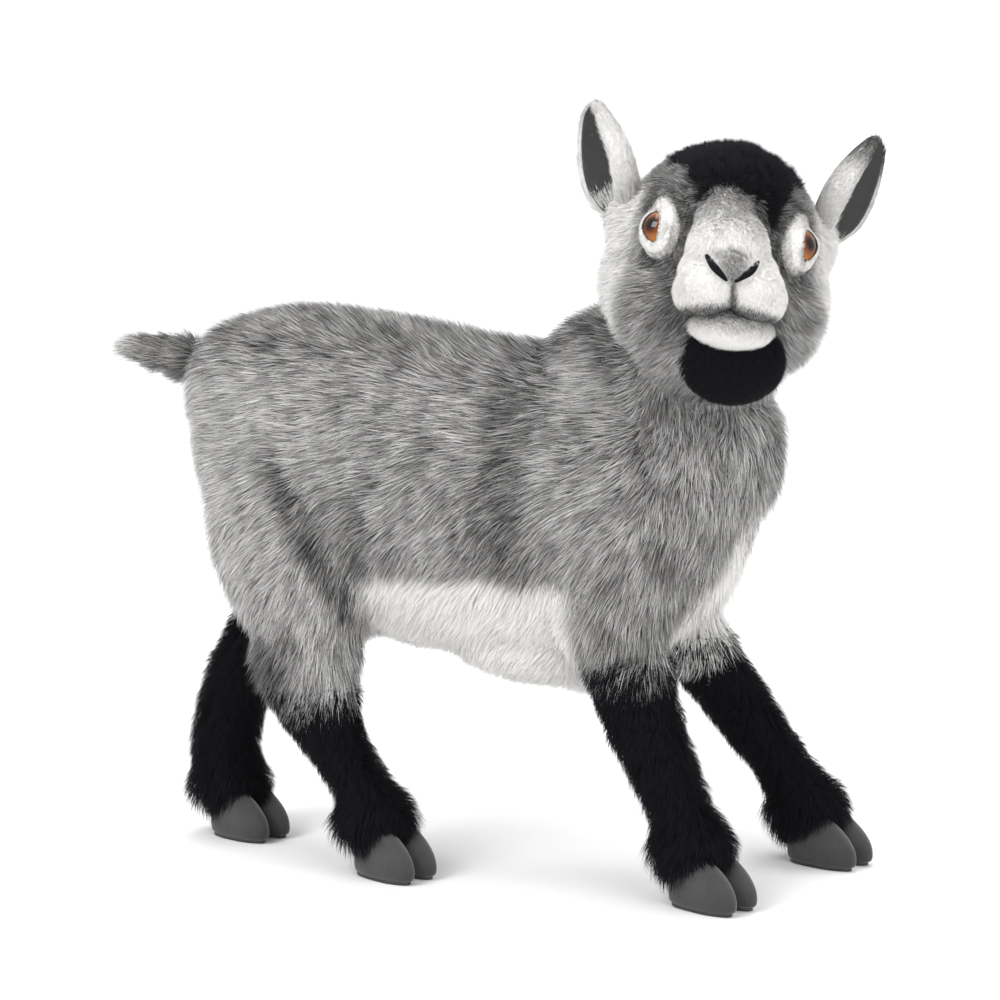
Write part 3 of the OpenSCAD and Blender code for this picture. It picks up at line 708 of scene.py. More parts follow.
@dataclass
class Pile:
    """Fibres that grow from a skin, each a tapered blade.

    Lengths and widths are in millimetres; comb gives each fibre's lying direction, tone its colour from 0 to 1.
    """

    seed: int
    density: float
    length: float
    width: float
    comb: Field
    tone: Field
    lift: float = 0.45
    droop: float = 0.35
    clump: float = 5.0
    gather: float = 0.35
    stray: float = 0.22
    trim: Field | None = None
    keep: Field | None = None
    stand: Field | None = None

    def _gathered(self, roots: Array, tips: Array) -> Array:
        """Pulls tips towards the middle tip of their clump.

        Args:
            roots: Where the fibres grow.
            tips: Where they end.

        Returns:
            The moved tips.
        """
        random = np.random.default_rng(self.seed + 5)
        warp = np.stack([waves(roots, self.clump * 2.4, self.seed + k) for k in range(3)], axis=1)
        cell = np.floor(roots / self.clump + 0.45 * warp + random.random(3)).astype(np.int64)
        cell -= cell.min(axis=0)
        _, group = np.unique(np.ravel_multi_index(cell.T, cell.max(axis=0) + 1), return_inverse=True)
        counts = np.bincount(group).astype(float)[:, None]
        middle = np.stack([np.bincount(group, tips[:, k]) for k in range(3)], axis=1) / counts
        return tips + (middle[group] - tips) * self.gather

    def grow(self, name: str, skin: Skin) -> bpy.types.Object:
        """Grows the fibres as one mesh, still in drawing coordinates.

        Args:
            name: Name of the piece.
            skin: Where they grow.

        Returns:
            The mesh, with root-to-tip and tone in its map.
        """
        random = np.random.default_rng(self.seed)
        count = int(skin.area() * self.density)
        roots, normals = skin.scatter(count, self.seed + 1)
        if self.keep is not None:
            kept = self.keep(roots, normals) > random.random(len(roots))
            roots, normals = roots[kept], normals[kept]
        n = len(roots)
        flow = self.comb(roots, normals) + random.normal(0, self.stray, (n, 3))
        flow = unit(flow - (flow * normals).sum(1, keepdims=True) * normals)
        reach = self.length * random.uniform(0.72, 1.18, (n, 1))
        if self.trim is not None:
            reach = reach * self.trim(roots, normals)[:, None]
        rise = self.lift + random.normal(0, 0.10, (n, 1))
        if self.stand is not None:
            rise = rise + self.stand(roots, normals)[:, None]
        rise = np.clip(rise, 0.05, 0.98)
        start = unit(normals * rise + flow * (1 - rise))
        end = unit(normals * rise * (1 - self.droop) + flow * (1 - rise * (1 - self.droop)))
        base = roots - normals * 0.4
        middle = base + start * reach * 0.45
        tips = self._gathered(roots, middle + end * reach * 0.55)
        twist = random.uniform(-0.8, 0.8, (n, 1))
        side = unit(np.cross(flow, normals))
        side = side * np.cos(twist) + normals * np.sin(twist)
        half = self.width / 2 * random.uniform(0.7, 1.3, (n, 1)) * 1.0
        points = np.stack([base - side * half, base + side * half, middle - side * half * 0.85,
                           middle + side * half * 0.85, tips], axis=1).reshape(-1, 3)
        points[:, 2] = np.maximum(points[:, 2], FLOOR_GAP)
        corner = np.array([[0, 1, 3], [0, 3, 2], [2, 3, 4]])
        triangles = (np.arange(n)[:, None, None] * 5 + corner[None]).reshape(-1)
        mesh = bpy.data.meshes.new(name)
        mesh.vertices.add(n * 5)
        mesh.vertices.foreach_set("co", (points * MM).astype(np.float32).ravel())
        mesh.loops.add(n * 9)
        mesh.loops.foreach_set("vertex_index", triangles.astype(np.int32))
        mesh.polygons.add(n * 3)
        mesh.polygons.foreach_set("loop_start", np.arange(0, n * 9, 3, dtype=np.int32))
        mesh.polygons.foreach_set("loop_total", np.full(n * 3, 3, dtype=np.int32))
        mesh.polygons.foreach_set("use_smooth", np.ones(n * 3, dtype=bool))
        mesh.update()
        tone = np.clip(self.tone(roots, normals), 0.012, 0.988)
        along = np.tile([0.02, 0.02, 0.45, 0.45, 0.98], n)
        across = np.repeat(tone, 5) + np.tile([-0.01, 0.01, -0.01, 0.01, 0.0], n)
        layer = mesh.uv_layers.new(name=UV_NAME)
        spots = np.stack([along[triangles], across[triangles]], axis=1)
        layer.data.foreach_set("uv", spots.astype(np.float32).ravel())
        facing = unit(np.cross(side, flow))
        facing *= np.sign((facing * normals).sum(1, keepdims=True) + 1e-6)
        soft = unit(normals * 0.75 + facing * 0.45 + flow * 0.10)
        mesh.normals_split_custom_set_from_vertices(np.repeat(soft, 5, axis=0))
        obj = bpy.data.objects.new(name, mesh)
        bpy.context.scene.collection.objects.link(obj)
        log.info("%s: %d fibres", name, n)
        return obj


def toned(obj: bpy.types.Object, tone: Field, depth: float = 0.25) -> None:
    """Gives a skin the map that its pile has, so that it shows the colour of the fibres' lower part.

    Args:
        obj: The object, with its mesh in metres.
        tone: Colour rule of the pile, from 0 to 1.
        depth: Share of the way from root to tip whose colour shows.
    """
    mesh = obj.data
    skin = Skin.of(obj)
    value = np.clip(tone(skin.points, skin.normals), 0.012, 0.988)
    along = np.clip(depth + 0.12 * waves(skin.points, 7.0, 3), 0.02, 0.98)
    loops = np.empty(len(mesh.loops), dtype=np.int32)
    mesh.loops.foreach_get("vertex_index", loops)
    layer = mesh.uv_layers.new(name=UV_NAME)
    spots = np.stack([along[loops], value[loops]], axis=1)
    layer.data.foreach_set("uv", spots.astype(np.float32).ravel())


class Tone(Enum):
    """Tones of the dyed piles, from black at 0 to ivory white at 1."""

    BLACK = 0.03
    GREY = 0.42
    WHITE = 0.95


class Cloth(Enum):
    """Cloths and other stuffs that the pieces are cut from."""

    GREY_FUR = "grey_fur"
    WHITE_PILE = "white_pile"
    BLACK_PILE = "black_pile"
    EAR_FUR = "ear_fur"
    SUEDE = "hoof_suede"
    LEATHER = "sole_leather"
    THREAD = "thread"


def blend_tones(base: Array, target: float, share: Array) -> Array:
    """Moves tones towards a target by a share."""
    return base + (target - base) * share


# ---------------------------------------------------------------- body


@dataclass
class Torso:
    """The stuffed body with neck and upper legs, in millimetres."""

    length: float = 277.0
    width: float = 114.0
    height: float = 164.0
    belly_z: float = 93.0
    front: float = 127.0
    inset: float = 5.0
    seam_x: float = 29.0
    squareness: float = 2.25
    waist: float = 0.52
    hem_z: float = 118.0
    around: int = 64
    shape: tuple = (
        (0.000, 0.848, 0.561, 0.20), (0.011, 0.880, 0.476, 0.45), (0.036, 0.930, 0.390, 0.68),
        (0.090, 0.970, 0.300, 0.86), (0.180, 1.000, 0.220, 0.97), (0.289, 0.985, 0.140, 1.00),
        (0.415, 0.945, 0.065, 1.00), (0.540, 0.905, 0.010, 0.97), (0.668, 0.900, 0.000, 0.95),
        (0.776, 0.895, 0.030, 0.93), (0.866, 0.870, 0.120, 0.86), (0.931, 0.820, 0.260, 0.72),
        (0.971, 0.770, 0.400, 0.52), (0.993, 0.720, 0.500, 0.30), (1.000, 0.680, 0.560, 0.16),
    )
    lumps: tuple = (
        # haunches, shoulders, neck and chest: centre, radii, tilt
        ((-88, -34, 156), (36, 23, 60), -14), ((-96, 33, 158), (36, 22, 58), -10),
        ((68, -38, 158), (27, 18, 56), 4), ((78, 37, 155), (26, 18, 54), 14), ((20, 0, 107.5), (44, 34, 17), 6),
        ((-30, 0, 121), (44, 34, 17), 8),
        ((70, 0, 216), (48, 38, 36), 30), ((92, 0, 238), (33, 35, 30), 0), ((104, 2, 196), (22, 34, 34), 0),
    )

    def loft(self) -> bpy.types.Object:
        """The barrel of the body.

        Returns:
            The object, in drawing coordinates.
        """
        rows = spline_rows(np.array(self.shape), 3)
        angles = np.linspace(0, 2 * math.pi, self.around, endpoint=False)
        power = 2 / self.squareness
        points = []
        for share, top, bottom, wide in rows:
            x = self.front - self.length + self.inset + share * (self.length - 2 * self.inset)
            z1, z0 = self.belly_z + top * self.height, self.belly_z + bottom * self.height
            middle = z0 + self.waist * (z1 - z0)
            half = max(1.0, wide * self.width / 2 - self.inset)
            up = np.where(np.cos(angles) > 0, max(1.0, z1 - middle - self.inset),
                          max(1.0, middle - z0 - self.inset))
            points.append(np.stack([np.full_like(angles, x), -half * lifted(np.sin(angles), power),
                                    middle + up * lifted(np.cos(angles), power)], axis=1))
        return mesh_object("barrel", np.vstack(points), tube_faces(len(points), self.around))

    def skin(self, legs: "Sequence[Leg]") -> bpy.types.Object:
        """The whole grey and white skin under the pile, down to the socks' hems.

        Args:
            legs: All four legs.

        Returns:
            The object, in drawing coordinates.
        """
        parts = [self.loft()]
        parts += [ellipsoid(centre, radii, tilt) for centre, radii, tilt in self.lumps]
        parts += [leg.upper() for leg in legs]
        return fused("body_skin", parts, 3.2, 6)

    def comb(self, points: Array, normals: Array) -> Array:
        """Lying direction of the pile: towards the tail, and down where the legs and chest begin.

        Args:
            points: Places, in millimetres in the body's frame.
            normals: The skin's directions there.

        Returns:
            One direction for each place.
        """
        x, y, z = points.T
        down = step(z, 205, 130)
        flow = np.stack([-1 + 0.45 * down, 0 * x, -0.30 - 0.85 * down], axis=1)
        chest = step(x, 62, 104) * step(z, 262, 235)
        whorl = np.stack([0.05 + 0.30 * waves(points, 36, 11), 0.40 * waves(points, 32, 12) + 0.01 * y,
                          -0.9 + 0.32 * waves(points, 40, 13)], axis=1)
        flow = flow * (1 - chest[:, None]) + whorl * chest[:, None]
        leg = step(z, 128, 100)
        flow = flow * (1 - leg[:, None]) + np.array([-0.12, 0, -1.0]) * leg[:, None]
        rump = step(x, -118, -145)
        flow = flow * (1 - rump[:, None]) + np.array([-0.25, 0, -1.0]) * rump[:, None]
        belly = step(z, 140, 126) * step(np.abs(x + 6), 58, 44)
        flow = flow * (1 - belly[:, None]) + np.array([-0.6, 0, -1.0]) * belly[:, None]
        wander = np.stack([waves(points, 26, 21), waves(points, 26, 22), waves(points, 26, 23)], axis=1)
        return unit(flow) + 0.22 * wander

    def tone(self, points: Array, normals: Array) -> Array:
        """Grey, paler at the rump and flanks, and white below the belly seam and inside the legs, with painted
        shade in the creases behind the shoulder and before the haunch, under the right haunch's rear, and in
        black on the far hind leg's inner top under the belly.

        Args:
            points: Places, in millimetres in the body's frame.
            normals: The skin's directions there.

        Returns:
            One value for each place.
        """
        x, y, z = points.T
        value = np.full(len(points), Tone.GREY.value + 0.03)
        value = blend_tones(value, 0.33, step(normals[:, 2], 0.35, 0.9) * step(z, 215, 238))
        # painted shade: dark bands in the crease behind the shoulder and in the crease before the haunch
        crease_band = step(np.abs(x - 24 - 0.10 * (z - 180)), 18, 4) * step(z, 128, 160)
        value = blend_tones(value, 0.24, crease_band * 0.75)
        crease_band = step(np.abs(x + 46 + 0.18 * (z - 160)), 16, 4) * step(z, 196, 170)
        value = blend_tones(value, 0.26, crease_band * 0.6)
        value = blend_tones(value, 0.54, step(x, -40, -90) * step(z, 240, 200))
        value = blend_tones(value, 0.66, step(x, -112, -148) * step(z, 235, 205))
        value = blend_tones(value, 0.84, step(x, -116, -140) * step(z, 196, 160))
        value = blend_tones(value, 0.24, step(x, 40, 84) * step(z, 232, 250))
        # painted shade: darker low under the rear of the right haunch
        value = blend_tones(value, 0.24, step(x, -72, -88) * step(z, 124, 104) * step(y, 0, -12))
        # painted shade: a dark line in the crease along the right haunch's front edge
        fold = x + 81 - 0.48 * (183 - z)
        crease_shade = step(np.abs(fold), 10, 2) * step(z, 206, 186) * step(z, 112, 124) * step(y, -20, -40)
        value = blend_tones(value, 0.20, 0.75 * crease_shade)
        value = blend_tones(value, 0.50, step(x, 80, 110) * step(z, 245, 215) * 0.8)
        value += 0.055 * waves(points, 18, 31) + 0.085 * waves(points * np.array([0.6, 1, 1]), 5, 32)
        random = np.random.default_rng(33)
        value += random.normal(0, 0.12, len(points))
        seam = 143 + 2.5 * waves(points, 30, 34)
        between = step(x, -57, -46) * step(x, 60, 50)
        white = step(z, seam + 3, seam - 3) * np.maximum(between, step(y, -22, -14) * step(x, -80, -60))
        chest = 168 + 4 * waves(points, 22, 35)
        inner = step(z, chest + 12, chest - 8) * step(y, -18, -10) * step(x, 54, 64)
        inner *= step(normals[:, 1], 0.55, 0.15)
        value = blend_tones(value, Tone.WHITE.value, np.clip(np.maximum(white, inner), 0, 1))
        # painted shade: black on the far hind leg's inner top, under the belly and between the hind legs
        inside = step(z, 124, 112) * step(y, -16, -8) * step(x, -92, -104) * step(y, 40, 34)
        return blend_tones(value, Tone.BLACK.value, inside)

    def trim(self, points: Array, normals: Array) -> Array:
        """Share of the full length: shorter on the belly and at the socks' hems.

        Args:
            points: Places, in millimetres in the body's frame.
            normals: The skin's directions there.

        Returns:
            One value for each place.
        """
        x, y, z = points.T
        share = np.ones(len(points))
        hem = step(z, 128, 110) * step(np.abs(x + 6), 44, 58)
        share *= 1 + 0.12 * hem - 0.25 * step(z, 128, 110) * (1 - hem)
        share *= 1 - 0.30 * step(z, 236, 252)
        share *= 1 - 0.38 * step(x, -116, -138) * step(z, 222, 205)
        return share

    def in_panel(self, panel: str, points: Array, normals: Array) -> Array:
        """1 where a place lies in the named panel's pile, and 0 elsewhere.

        Args:
            panel: Name of the panel's pile.
            points: Places, in millimetres in the body's frame.
            normals: The skin's directions there.

        Returns:
            One value for each place.
        """
        x, y, z = points.T
        upper, front, right = z > self.hem_z, x >= self.seam_x, y < 0
        places = {
            "flank_pile_right": upper & ~front & right, "flank_pile_left": upper & ~front & ~right,
            "shoulder_pile_right": upper & front & right, "shoulder_pile_left": upper & front & ~right,
            "underside_pile": ~upper,
        }
        return places[panel] * 1.0

    def stand(self, points: Array, normals: Array) -> Array:
        """How much more upright the pile is: it stands along the back."""
        return 0.22 * step(normals[:, 2], 0.55, 0.95) * step(points[:, 2], 200, 225)


@dataclass
class Leg:
    """One leg: rows of height, forward place, sideways place, half length and half width."""

    name: str
    rows: tuple
    hem: float
    heel_turn: float
    inset: float = 1.2

    def ring_table(self, low: float, high: float, steps: int) -> Array:
        """Rows between two heights.

        Args:
            low: Lower height.
            high: Upper height.
            steps: Number of rows.

        Returns:
            One row for each height.
        """
        table = np.array(self.rows, float)
        heights = np.linspace(low, high, steps)
        return np.stack([heights, *(np.interp(heights, table[:, 0], table[:, k]) for k in range(1, 5))], axis=1)

    def loft(self, low: float, high: float, steps: int, inset: float) -> bpy.types.Object:
        """A closed tube along the leg.

        Args:
            low: Lower height.
            high: Upper height.
            steps: Number of rows.
            inset: How far inside the leg's outline it stays.

        Returns:
            The object, in drawing coordinates.
        """
        angles = np.linspace(0, 2 * math.pi, 32, endpoint=False)
        rows = self.ring_table(low, high, steps)
        points = [np.stack([r[1] + (r[3] - inset) * np.cos(angles), r[2] + (r[4] - inset) * np.sin(angles),
                            np.full(32, r[0])], axis=1) for r in rows]
        return mesh_object("leg", np.vstack(points), tube_faces(steps, 32))

    def upper(self) -> bpy.types.Object:
        """The part over the sock."""
        return self.loft(self.hem - 2, 132, 10, 5.0)

    def sock(self) -> bpy.types.Object:
        """Skin of the black sock, which reaches a little under the grey fur.

        Returns:
            The object, in drawing coordinates.
        """
        tube = self.loft(20, self.hem + 8, 18, self.inset)
        cuff = self.ring_table(26, 26, 1)[0]
        flare = ellipsoid((cuff[1] - 1.0, cuff[2], 27), (cuff[3] + 1.6, cuff[4] + 0.6, 13), 14)
        return fused(self.name + "_sock", [tube, flare], 2.4, 4)

    def place(self) -> tuple[float, float]:
        """Forward and sideways place of the ankle."""
        row = self.ring_table(20, 20, 1)[0]
        return float(row[1]), float(row[2])

    def comb(self, points: Array, normals: Array) -> Array:
        """Down the leg, with shallow waves."""
        wave = np.stack([waves(points, 16, 41), waves(points, 16, 42), 0.4 * waves(points, 16, 43)], axis=1)
        return np.array([-0.1, 0, -1.0]) + 0.30 * wave

    def trim(self, points: Array, normals: Array) -> Array:
        """Longer at the cuff, which hangs over the hoof and lower at the heel."""
        x = points[:, 0] - self.place()[0]
        return 0.92 + step(points[:, 2], 42, 24) * (0.10 + 0.85 * step(x, 8, -12)) + 0.15 * waves(points, 9, 44)

    def tone(self, points: Array, normals: Array) -> Array:
        """Black, with a few lighter, browner fibres as painted glints."""
        random = np.random.default_rng(45)
        # painted highlights: the lighter fibres stand for glints on the black sock
        return Tone.BLACK.value + np.abs(random.normal(0, 0.022, len(points)))


LEGS = (
    Leg("foreleg_right", (
        (0, 112, -42, 15, 13), (20, 108, -41, 15, 13), (32, 104, -41, 15.5, 14), (45, 97, -41, 13.5, 13),
        (62, 89, -41, 15.5, 14), (80, 81, -40, 17, 15), (98, 74, -37, 19, 15.5),
        (132, 70, -30, 21, 15)), 98, -24),
    Leg("foreleg_left", (
        (0, 142, 53, 15, 13), (20, 138, 52, 15, 13), (32, 131, 52, 15.5, 14), (45, 121, 51, 13.5, 13),
        (62, 108, 49, 15.5, 14), (80, 96, 45, 17, 15), (98, 84, 38, 19, 15.5), (132, 72, 30, 21, 15)), 98, -20),
    Leg("hind_leg_right", (
        (0, -36, -39, 15, 13), (20, -42, -39, 15, 13), (32, -47, -39, 15, 14), (45, -56, -39, 13.5, 13),
        (60, -68, -38, 15, 14), (76, -77, -37, 19, 16), (90, -81, -36, 25, 18),
        (132, -80, -33, 32, 19)), 76, -24),
    Leg("hind_leg_left", (
        (0, -132, 8, 15, 13), (20, -137, 8, 15, 13), (32, -143, 9, 16.5, 14.5), (45, -146, 12, 15.5, 14),
        (60, -145, 16, 16, 14), (80, -139, 21, 17.5, 15), (100, -127, 26, 21, 16),
        (132, -104, 30, 27, 18)), 100, -20),
)


@dataclass
class Hoof:
    """A stuffed cloven hoof of two suede toes on leather soles."""

    leg: Leg
    height: float = 20.0
    length: float = 37.0
    width: float = 27.0
    cleft: float = 1.0
    sole: float = 1.6
    heel: float = 11.0
    # share of the height, heel and tip as shares of the length, share of the width
    shape: tuple = (
        (-0.06, 0.05, 0.94, 0.86), (0.03, 0.01, 0.99, 0.97), (0.16, 0.00, 1.00, 1.00),
        (0.34, 0.00, 0.985, 1.00), (0.52, 0.01, 0.93, 0.98), (0.70, 0.03, 0.84, 0.93),
        (0.86, 0.06, 0.72, 0.84), (1.05, 0.10, 0.58, 0.70),
    )

    def _to_leg(self, points: Array) -> Array:
        """From the hoof's own frame to the drawing's.

        Args:
            points: Places, in millimetres in the body's frame.

        Returns:
            The points on the leg.
        """
        x, y = self.leg.place()
        c, s = math.cos(math.radians(self.leg.heel_turn)), math.sin(math.radians(self.leg.heel_turn))
        turned = np.asarray(points) @ np.array([[c, -s, 0], [s, c, 0], [0, 0, 1]]).T
        return turned + np.array([x, y, 0])

    def outline(self, row: Sequence[float], side: int, n: int = 28) -> Array:
        """Outline of one toe at one height.

        Args:
            row: One row of the hoof's shape.
            side: 1 or -1, for the two sides.
            n: Number of points.

        Returns:
            Points in the hoof's plane.
        """
        angles = np.linspace(0, 2 * math.pi, n, endpoint=False)
        x0, x1 = row[1] * self.length - self.heel, row[2] * self.length - self.heel
        half = (self.width - self.cleft) / 4
        wide = row[3] * half
        pinch = 1 - 0.22 * step(np.cos(angles), 0.2, 1.0)
        return np.stack([(x0 + x1) / 2 + (x1 - x0) / 2 * lifted(np.cos(angles), 0.82),
                         side * (self.cleft / 2 + half) + wide * lifted(np.sin(angles), 0.82) * pinch], axis=1)

    def toe(self, side: int) -> bpy.types.Object:
        """One stuffed toe.

        Args:
            side: 1 or -1, for the two sides.

        Returns:
            The object, in drawing coordinates.
        """
        span = self.height + 2 - self.sole
        rings = [np.column_stack([self.outline(row, side), np.full(28, self.sole + 0.1 + row[0] * span)])
                 for row in self.shape]
        points = self._to_leg(np.vstack(rings))
        return mesh_object("toe", points, tube_faces(len(rings), 28))

    def soles(self) -> bpy.types.Object:
        """Both leather soles as one object.

        Returns:
            The object, in drawing coordinates.
        """
        points: list = []
        faces: list = []
        for side in (-1, 1):
            flat = self.outline((0, 0.05, 0.93, 0.86), side)
            start = len(points)
            for z in (0.0, self.sole * 0.75, self.sole):
                inner = 1.0 if z < self.sole else 0.95
                middle = flat.mean(0)
                points += [[*(middle + (p - middle) * inner), z] for p in flat]
            n = len(flat)
            faces += [tuple(start + i for i in f) for f in tube_faces(3, n)]
        return mesh_object(self.leg.name + "_sole", self._to_leg(np.array(points)), faces)


# ---------------------------------------------------------------- head


@dataclass
class Head:
    """The stuffed head in its own frame: u forward from the neck, v to the left and z up, in millimetres."""

    mouth_z: float = 262.0
    # centre, radii, tilt
    skull: tuple = (
        ((26, 0, 288), (44, 41, 40), 0), ((44, 0, 286), (36, 40, 38), 0), ((50, 0, 300), (30, 27, 28), 0),
        ((52, 0, 266), (28, 40, 30), 0), ((58, 25, 262), (18, 16, 20), 0), ((58, -25, 262), (18, 16, 20), 0),
        ((56, 0, 246), (24, 28, 20), 0), ((8, 0, 270), (24, 32, 26), 0), ((61, 20, 298), (15, 13, 14), 0),
        ((61, -20, 298), (15, 13, 14), 0), ((32, 21, 285), (24, 24, 25), 0), ((32, -21, 285), (24, 24, 25), 0),
        ((40, 0, 302.5), (32, 27, 26.5), 0), ((58.5, 17.5, 285), (19.5, 19.5, 19.5), 0),
        ((58.5, -17.5, 285), (19.5, 19.5, 19.5), 0), ((26, 37, 291), (15, 11.5, 16), 0),
        ((26, -37, 291), (15, 11.5, 16), 0),
        ((38, 24, 272), (24, 21, 24), 0), ((38, -26, 274), (24, 21, 26), 0),
    )
    nose: tuple = (
        ((70, 0, 297), (22, 13.5, 17), 24), ((78, 0, 285), (24, 17, 19), 10), ((80, 0, 276), (22, 20.5, 15), 0),
        ((91, 10, 271), (14.5, 11.5, 11), 0), ((91, -10, 271), (14.5, 11.5, 11), 0),
        ((95, 0, 280), (11, 11, 9), 0), ((80, 16, 268), (18, 7, 9), 0), ((80, -16, 268), (18, 7, 9), 0),
    )
    lip: tuple = (((83, 0, 255), (16, 17, 10), 0), ((76, 0, 254), (16, 18.5, 10), 0))
    bib: tuple = (((72, 0, 242), (20, 22, 18.5), 0), ((62, 0, 240), (22, 22.5, 16), 0))
    lean: float = 0.18

    def _mass(self, name: str, lumps: tuple, voxel: float, smooth: int) -> bpy.types.Object:
        """Fuses lumps drawn in the head's frame and moves them to the body's.

        Args:
            name: Its name.
            lumps: Centre, radii and tilt of each lump.
            voxel: Size of a cell, in millimetres.
            smooth: Smoothing passes.

        Returns:
            The object, in drawing coordinates.
        """
        if lumps is not self.skull:
            lumps = tuple(((c[0], c[1] + self.lean * (281 - c[2]), c[2]), r, tilt) for c, r, tilt in lumps)
        obj = fused(name, [ellipsoid(*lump) for lump in lumps], voxel, smooth)
        HEAD.place(obj)
        return obj

    def skins(self) -> dict[str, bpy.types.Object]:
        """The four stuffed masses: skull with cheeks, muzzle, lower lip and bib.

        Returns:
            The skins by name.
        """
        return {
            "head_skin": self._mass("head_skin", self.skull, 2.4, 6),
            "muzzle": self._mass("muzzle", self.nose, 1.2, 5),
            "lower_lip_skin": self._mass("lower_lip_skin", self.lip, 1.2, 4),
            "chin_bib_skin": self._mass("chin_bib_skin", self.bib, 1.6, 4),
        }

    @staticmethod
    def local(points: Array) -> tuple[Array, Array, Array]:
        """u, v and z of points given in the body's frame.

        Args:
            points: Places, in millimetres in the body's frame.

        Returns:
            The three coordinates.
        """
        seat = np.array([0, 0, HEAD.neck_z])
        back = (points - seat - np.array([HEAD.neck_x, 0, 0])) @ HEAD.turn() + seat
        return back[:, 0], back[:, 1], back[:, 2]

    def cap(self, points: Array) -> Array:
        """Share of the black cap at a place.

        Args:
            points: Places, in millimetres in the body's frame.

        Returns:
            One value for each place.
        """
        u, v, z = self.local(points)
        edge = 1.2 * waves(points, 5.0, 51)
        half = 13.4 + 0.42 * np.clip(z - 297, -6, 30) + 5 * step(u, 60, 40) + edge
        low = 296 + 12 * step(np.abs(v - 1.5), 15, 8) + edge
        back = step(u, -8 + edge, -2 + edge)
        return step(np.abs(v - 2.6), half + 0.8, half - 0.8) * step(z, low - 1, low + 1) * back

    def patch(self, points: Array) -> Array:
        """Distance from the nearer eye as a share of the white patch's size, below 1 within it."""
        return np.minimum(Eye(1).share(points), Eye(-1).share(points))

    def comb(self, points: Array, normals: Array) -> Array:
        """Away from the muzzle over the cheeks, back over the crown, and down at the back of the head.

        Args:
            points: Places, in millimetres in the body's frame.
            normals: The skin's directions there.

        Returns:
            One direction for each place.
        """
        u, v, z = self.local(points)
        out = np.sign(v) * np.clip(np.abs(v) / 20, 0, 1)
        flow = np.stack([-0.5 - 0 * u, 0.9 * out, -0.75 + 0 * u], axis=1)
        crown = step(z, 303, 318)[:, None]
        flow = flow * (1 - crown) + np.stack([-1.0 + 0 * u, 0.35 * out, 0.05 + 0 * u], axis=1) * crown
        rear = step(u, 12, -8)[:, None]
        flow = flow * (1 - rear) + np.array([-0.2, 0, -1.0]) * rear
        wander = np.stack([waves(points, 18, 61), waves(points, 18, 62), waves(points, 18, 63)], axis=1)
        return unit(flow) @ HEAD.turn().T + 0.25 * wander

    def trim(self, points: Array, normals: Array) -> Array:
        """Share of the full length: longest on the cheeks' lower edge, short round the eyes and on the cap.

        Args:
            points: Places, in millimetres in the body's frame.
            normals: The skin's directions there.

        Returns:
            One value for each place.
        """
        u, v, z = self.local(points)
        share = 0.60 + 0.60 * step(z, 288, 262)
        share *= 1 - 0.55 * step(self.patch(points), 1.6, 1.0)
        share *= 1 - 0.30 * step(u, 66, 76)
        share = np.where(self.cap(points) > 0.5, 0.64 + 0.20 * waves(points, 5, 63), share)
        return np.where(u < 8, np.maximum(share, 0.95), share)

    def keep(self, points: Array, normals: Array) -> Array:
        """No long pile on the eye patches, and the cap has its own."""
        return (1 - step(self.patch(points), 1.0, 0.90)) * (self.cap(points) <= 0.5)

    def keep_cheek(self, side: int, points: Array, normals: Array) -> Array:
        """Where one cheek's pile grows; side is 1 on the left and -1 on the right."""
        return self.keep(points, normals) * (side * self.local(points)[1] >= 0)

    def keep_cap(self, points: Array, normals: Array) -> Array:
        """Where the cap's pile grows."""
        return 1.0 * (self.cap(points) > 0.5)

    def tone(self, points: Array, normals: Array) -> Array:
        """Grey cheeks with white edges, dark bands beside the muzzle and over the eyes, and a black cap with a
        few lighter fibres as painted glints.

        Args:
            points: Places, in millimetres in the body's frame.
            normals: The skin's directions there.

        Returns:
            One value for each place.
        """
        u, v, z = self.local(points)
        out = np.abs(v)
        value = np.full(len(points), 0.43)
        value = blend_tones(value, 0.25, step(out, 29, 19) * step(z, 240, 258))
        value = blend_tones(value, 0.24, step(self.patch(points), 1.5, 1.05) * 0.9)
        value = blend_tones(value, 0.26, step(z, 300, 308) * step(out, 34, 28))
        value = blend_tones(value, 0.84, step(out, 32, 41) * step(z, 310, 290) * step(u, 74, 60))
        value = blend_tones(value, 0.90, step(out, 31, 37) * step(z, 278, 294) * step(u, 58, 44))
        value = blend_tones(value, 0.24, step(u, 14, -2))
        value = blend_tones(value, 0.17, step(z, 236, 226))
        random = np.random.default_rng(64)
        value += 0.06 * waves(points, 9, 65) + random.normal(0, 0.11, len(points))
        # painted highlights: a few lighter fibres stand for glints on the black cap
        black = Tone.BLACK.value + np.abs(random.normal(0, 0.02, len(points)))
        return np.where(self.cap(points) > 0.5, black, value)

    # short pile on the muzzle, the lip and the bib

    def nose_shade(self, points: Array) -> Array:
        """Airbrushed grey of the nose pad, grey at the bridge's top and the muzzle's upper back edge, and
        painted shade in the furrow under the nose and along the mouth's edge, from 0 to 1.

        Args:
            points: Places, in millimetres in the body's frame.

        Returns:
            One value for each place.
        """
        u, v, z = self.local(points)
        out = np.abs(v - self.lean * (281 - z))
        top = step(z, 287, 309) ** 1.2
        fade = 1.5 * waves(points, 6, 69)
        pad = step(out, 10.0 - 0.42 * (288 - z), 5.5 - 0.42 * (288 - z)) * step(z, 271, 275)
        pad *= step(z + 0.5 * out + fade, 293, 285)
        # painted shade in the furrow under the nose, between the lip lobes
        crease_shade = step(out, 2.2 + 0.20 * np.clip(275 - z, 0, 20), 0.4) * step(z, 278, 274) * step(u, 86, 92)
        arch = self.mouth_z + 1.5 - 0.0085 * out ** 2
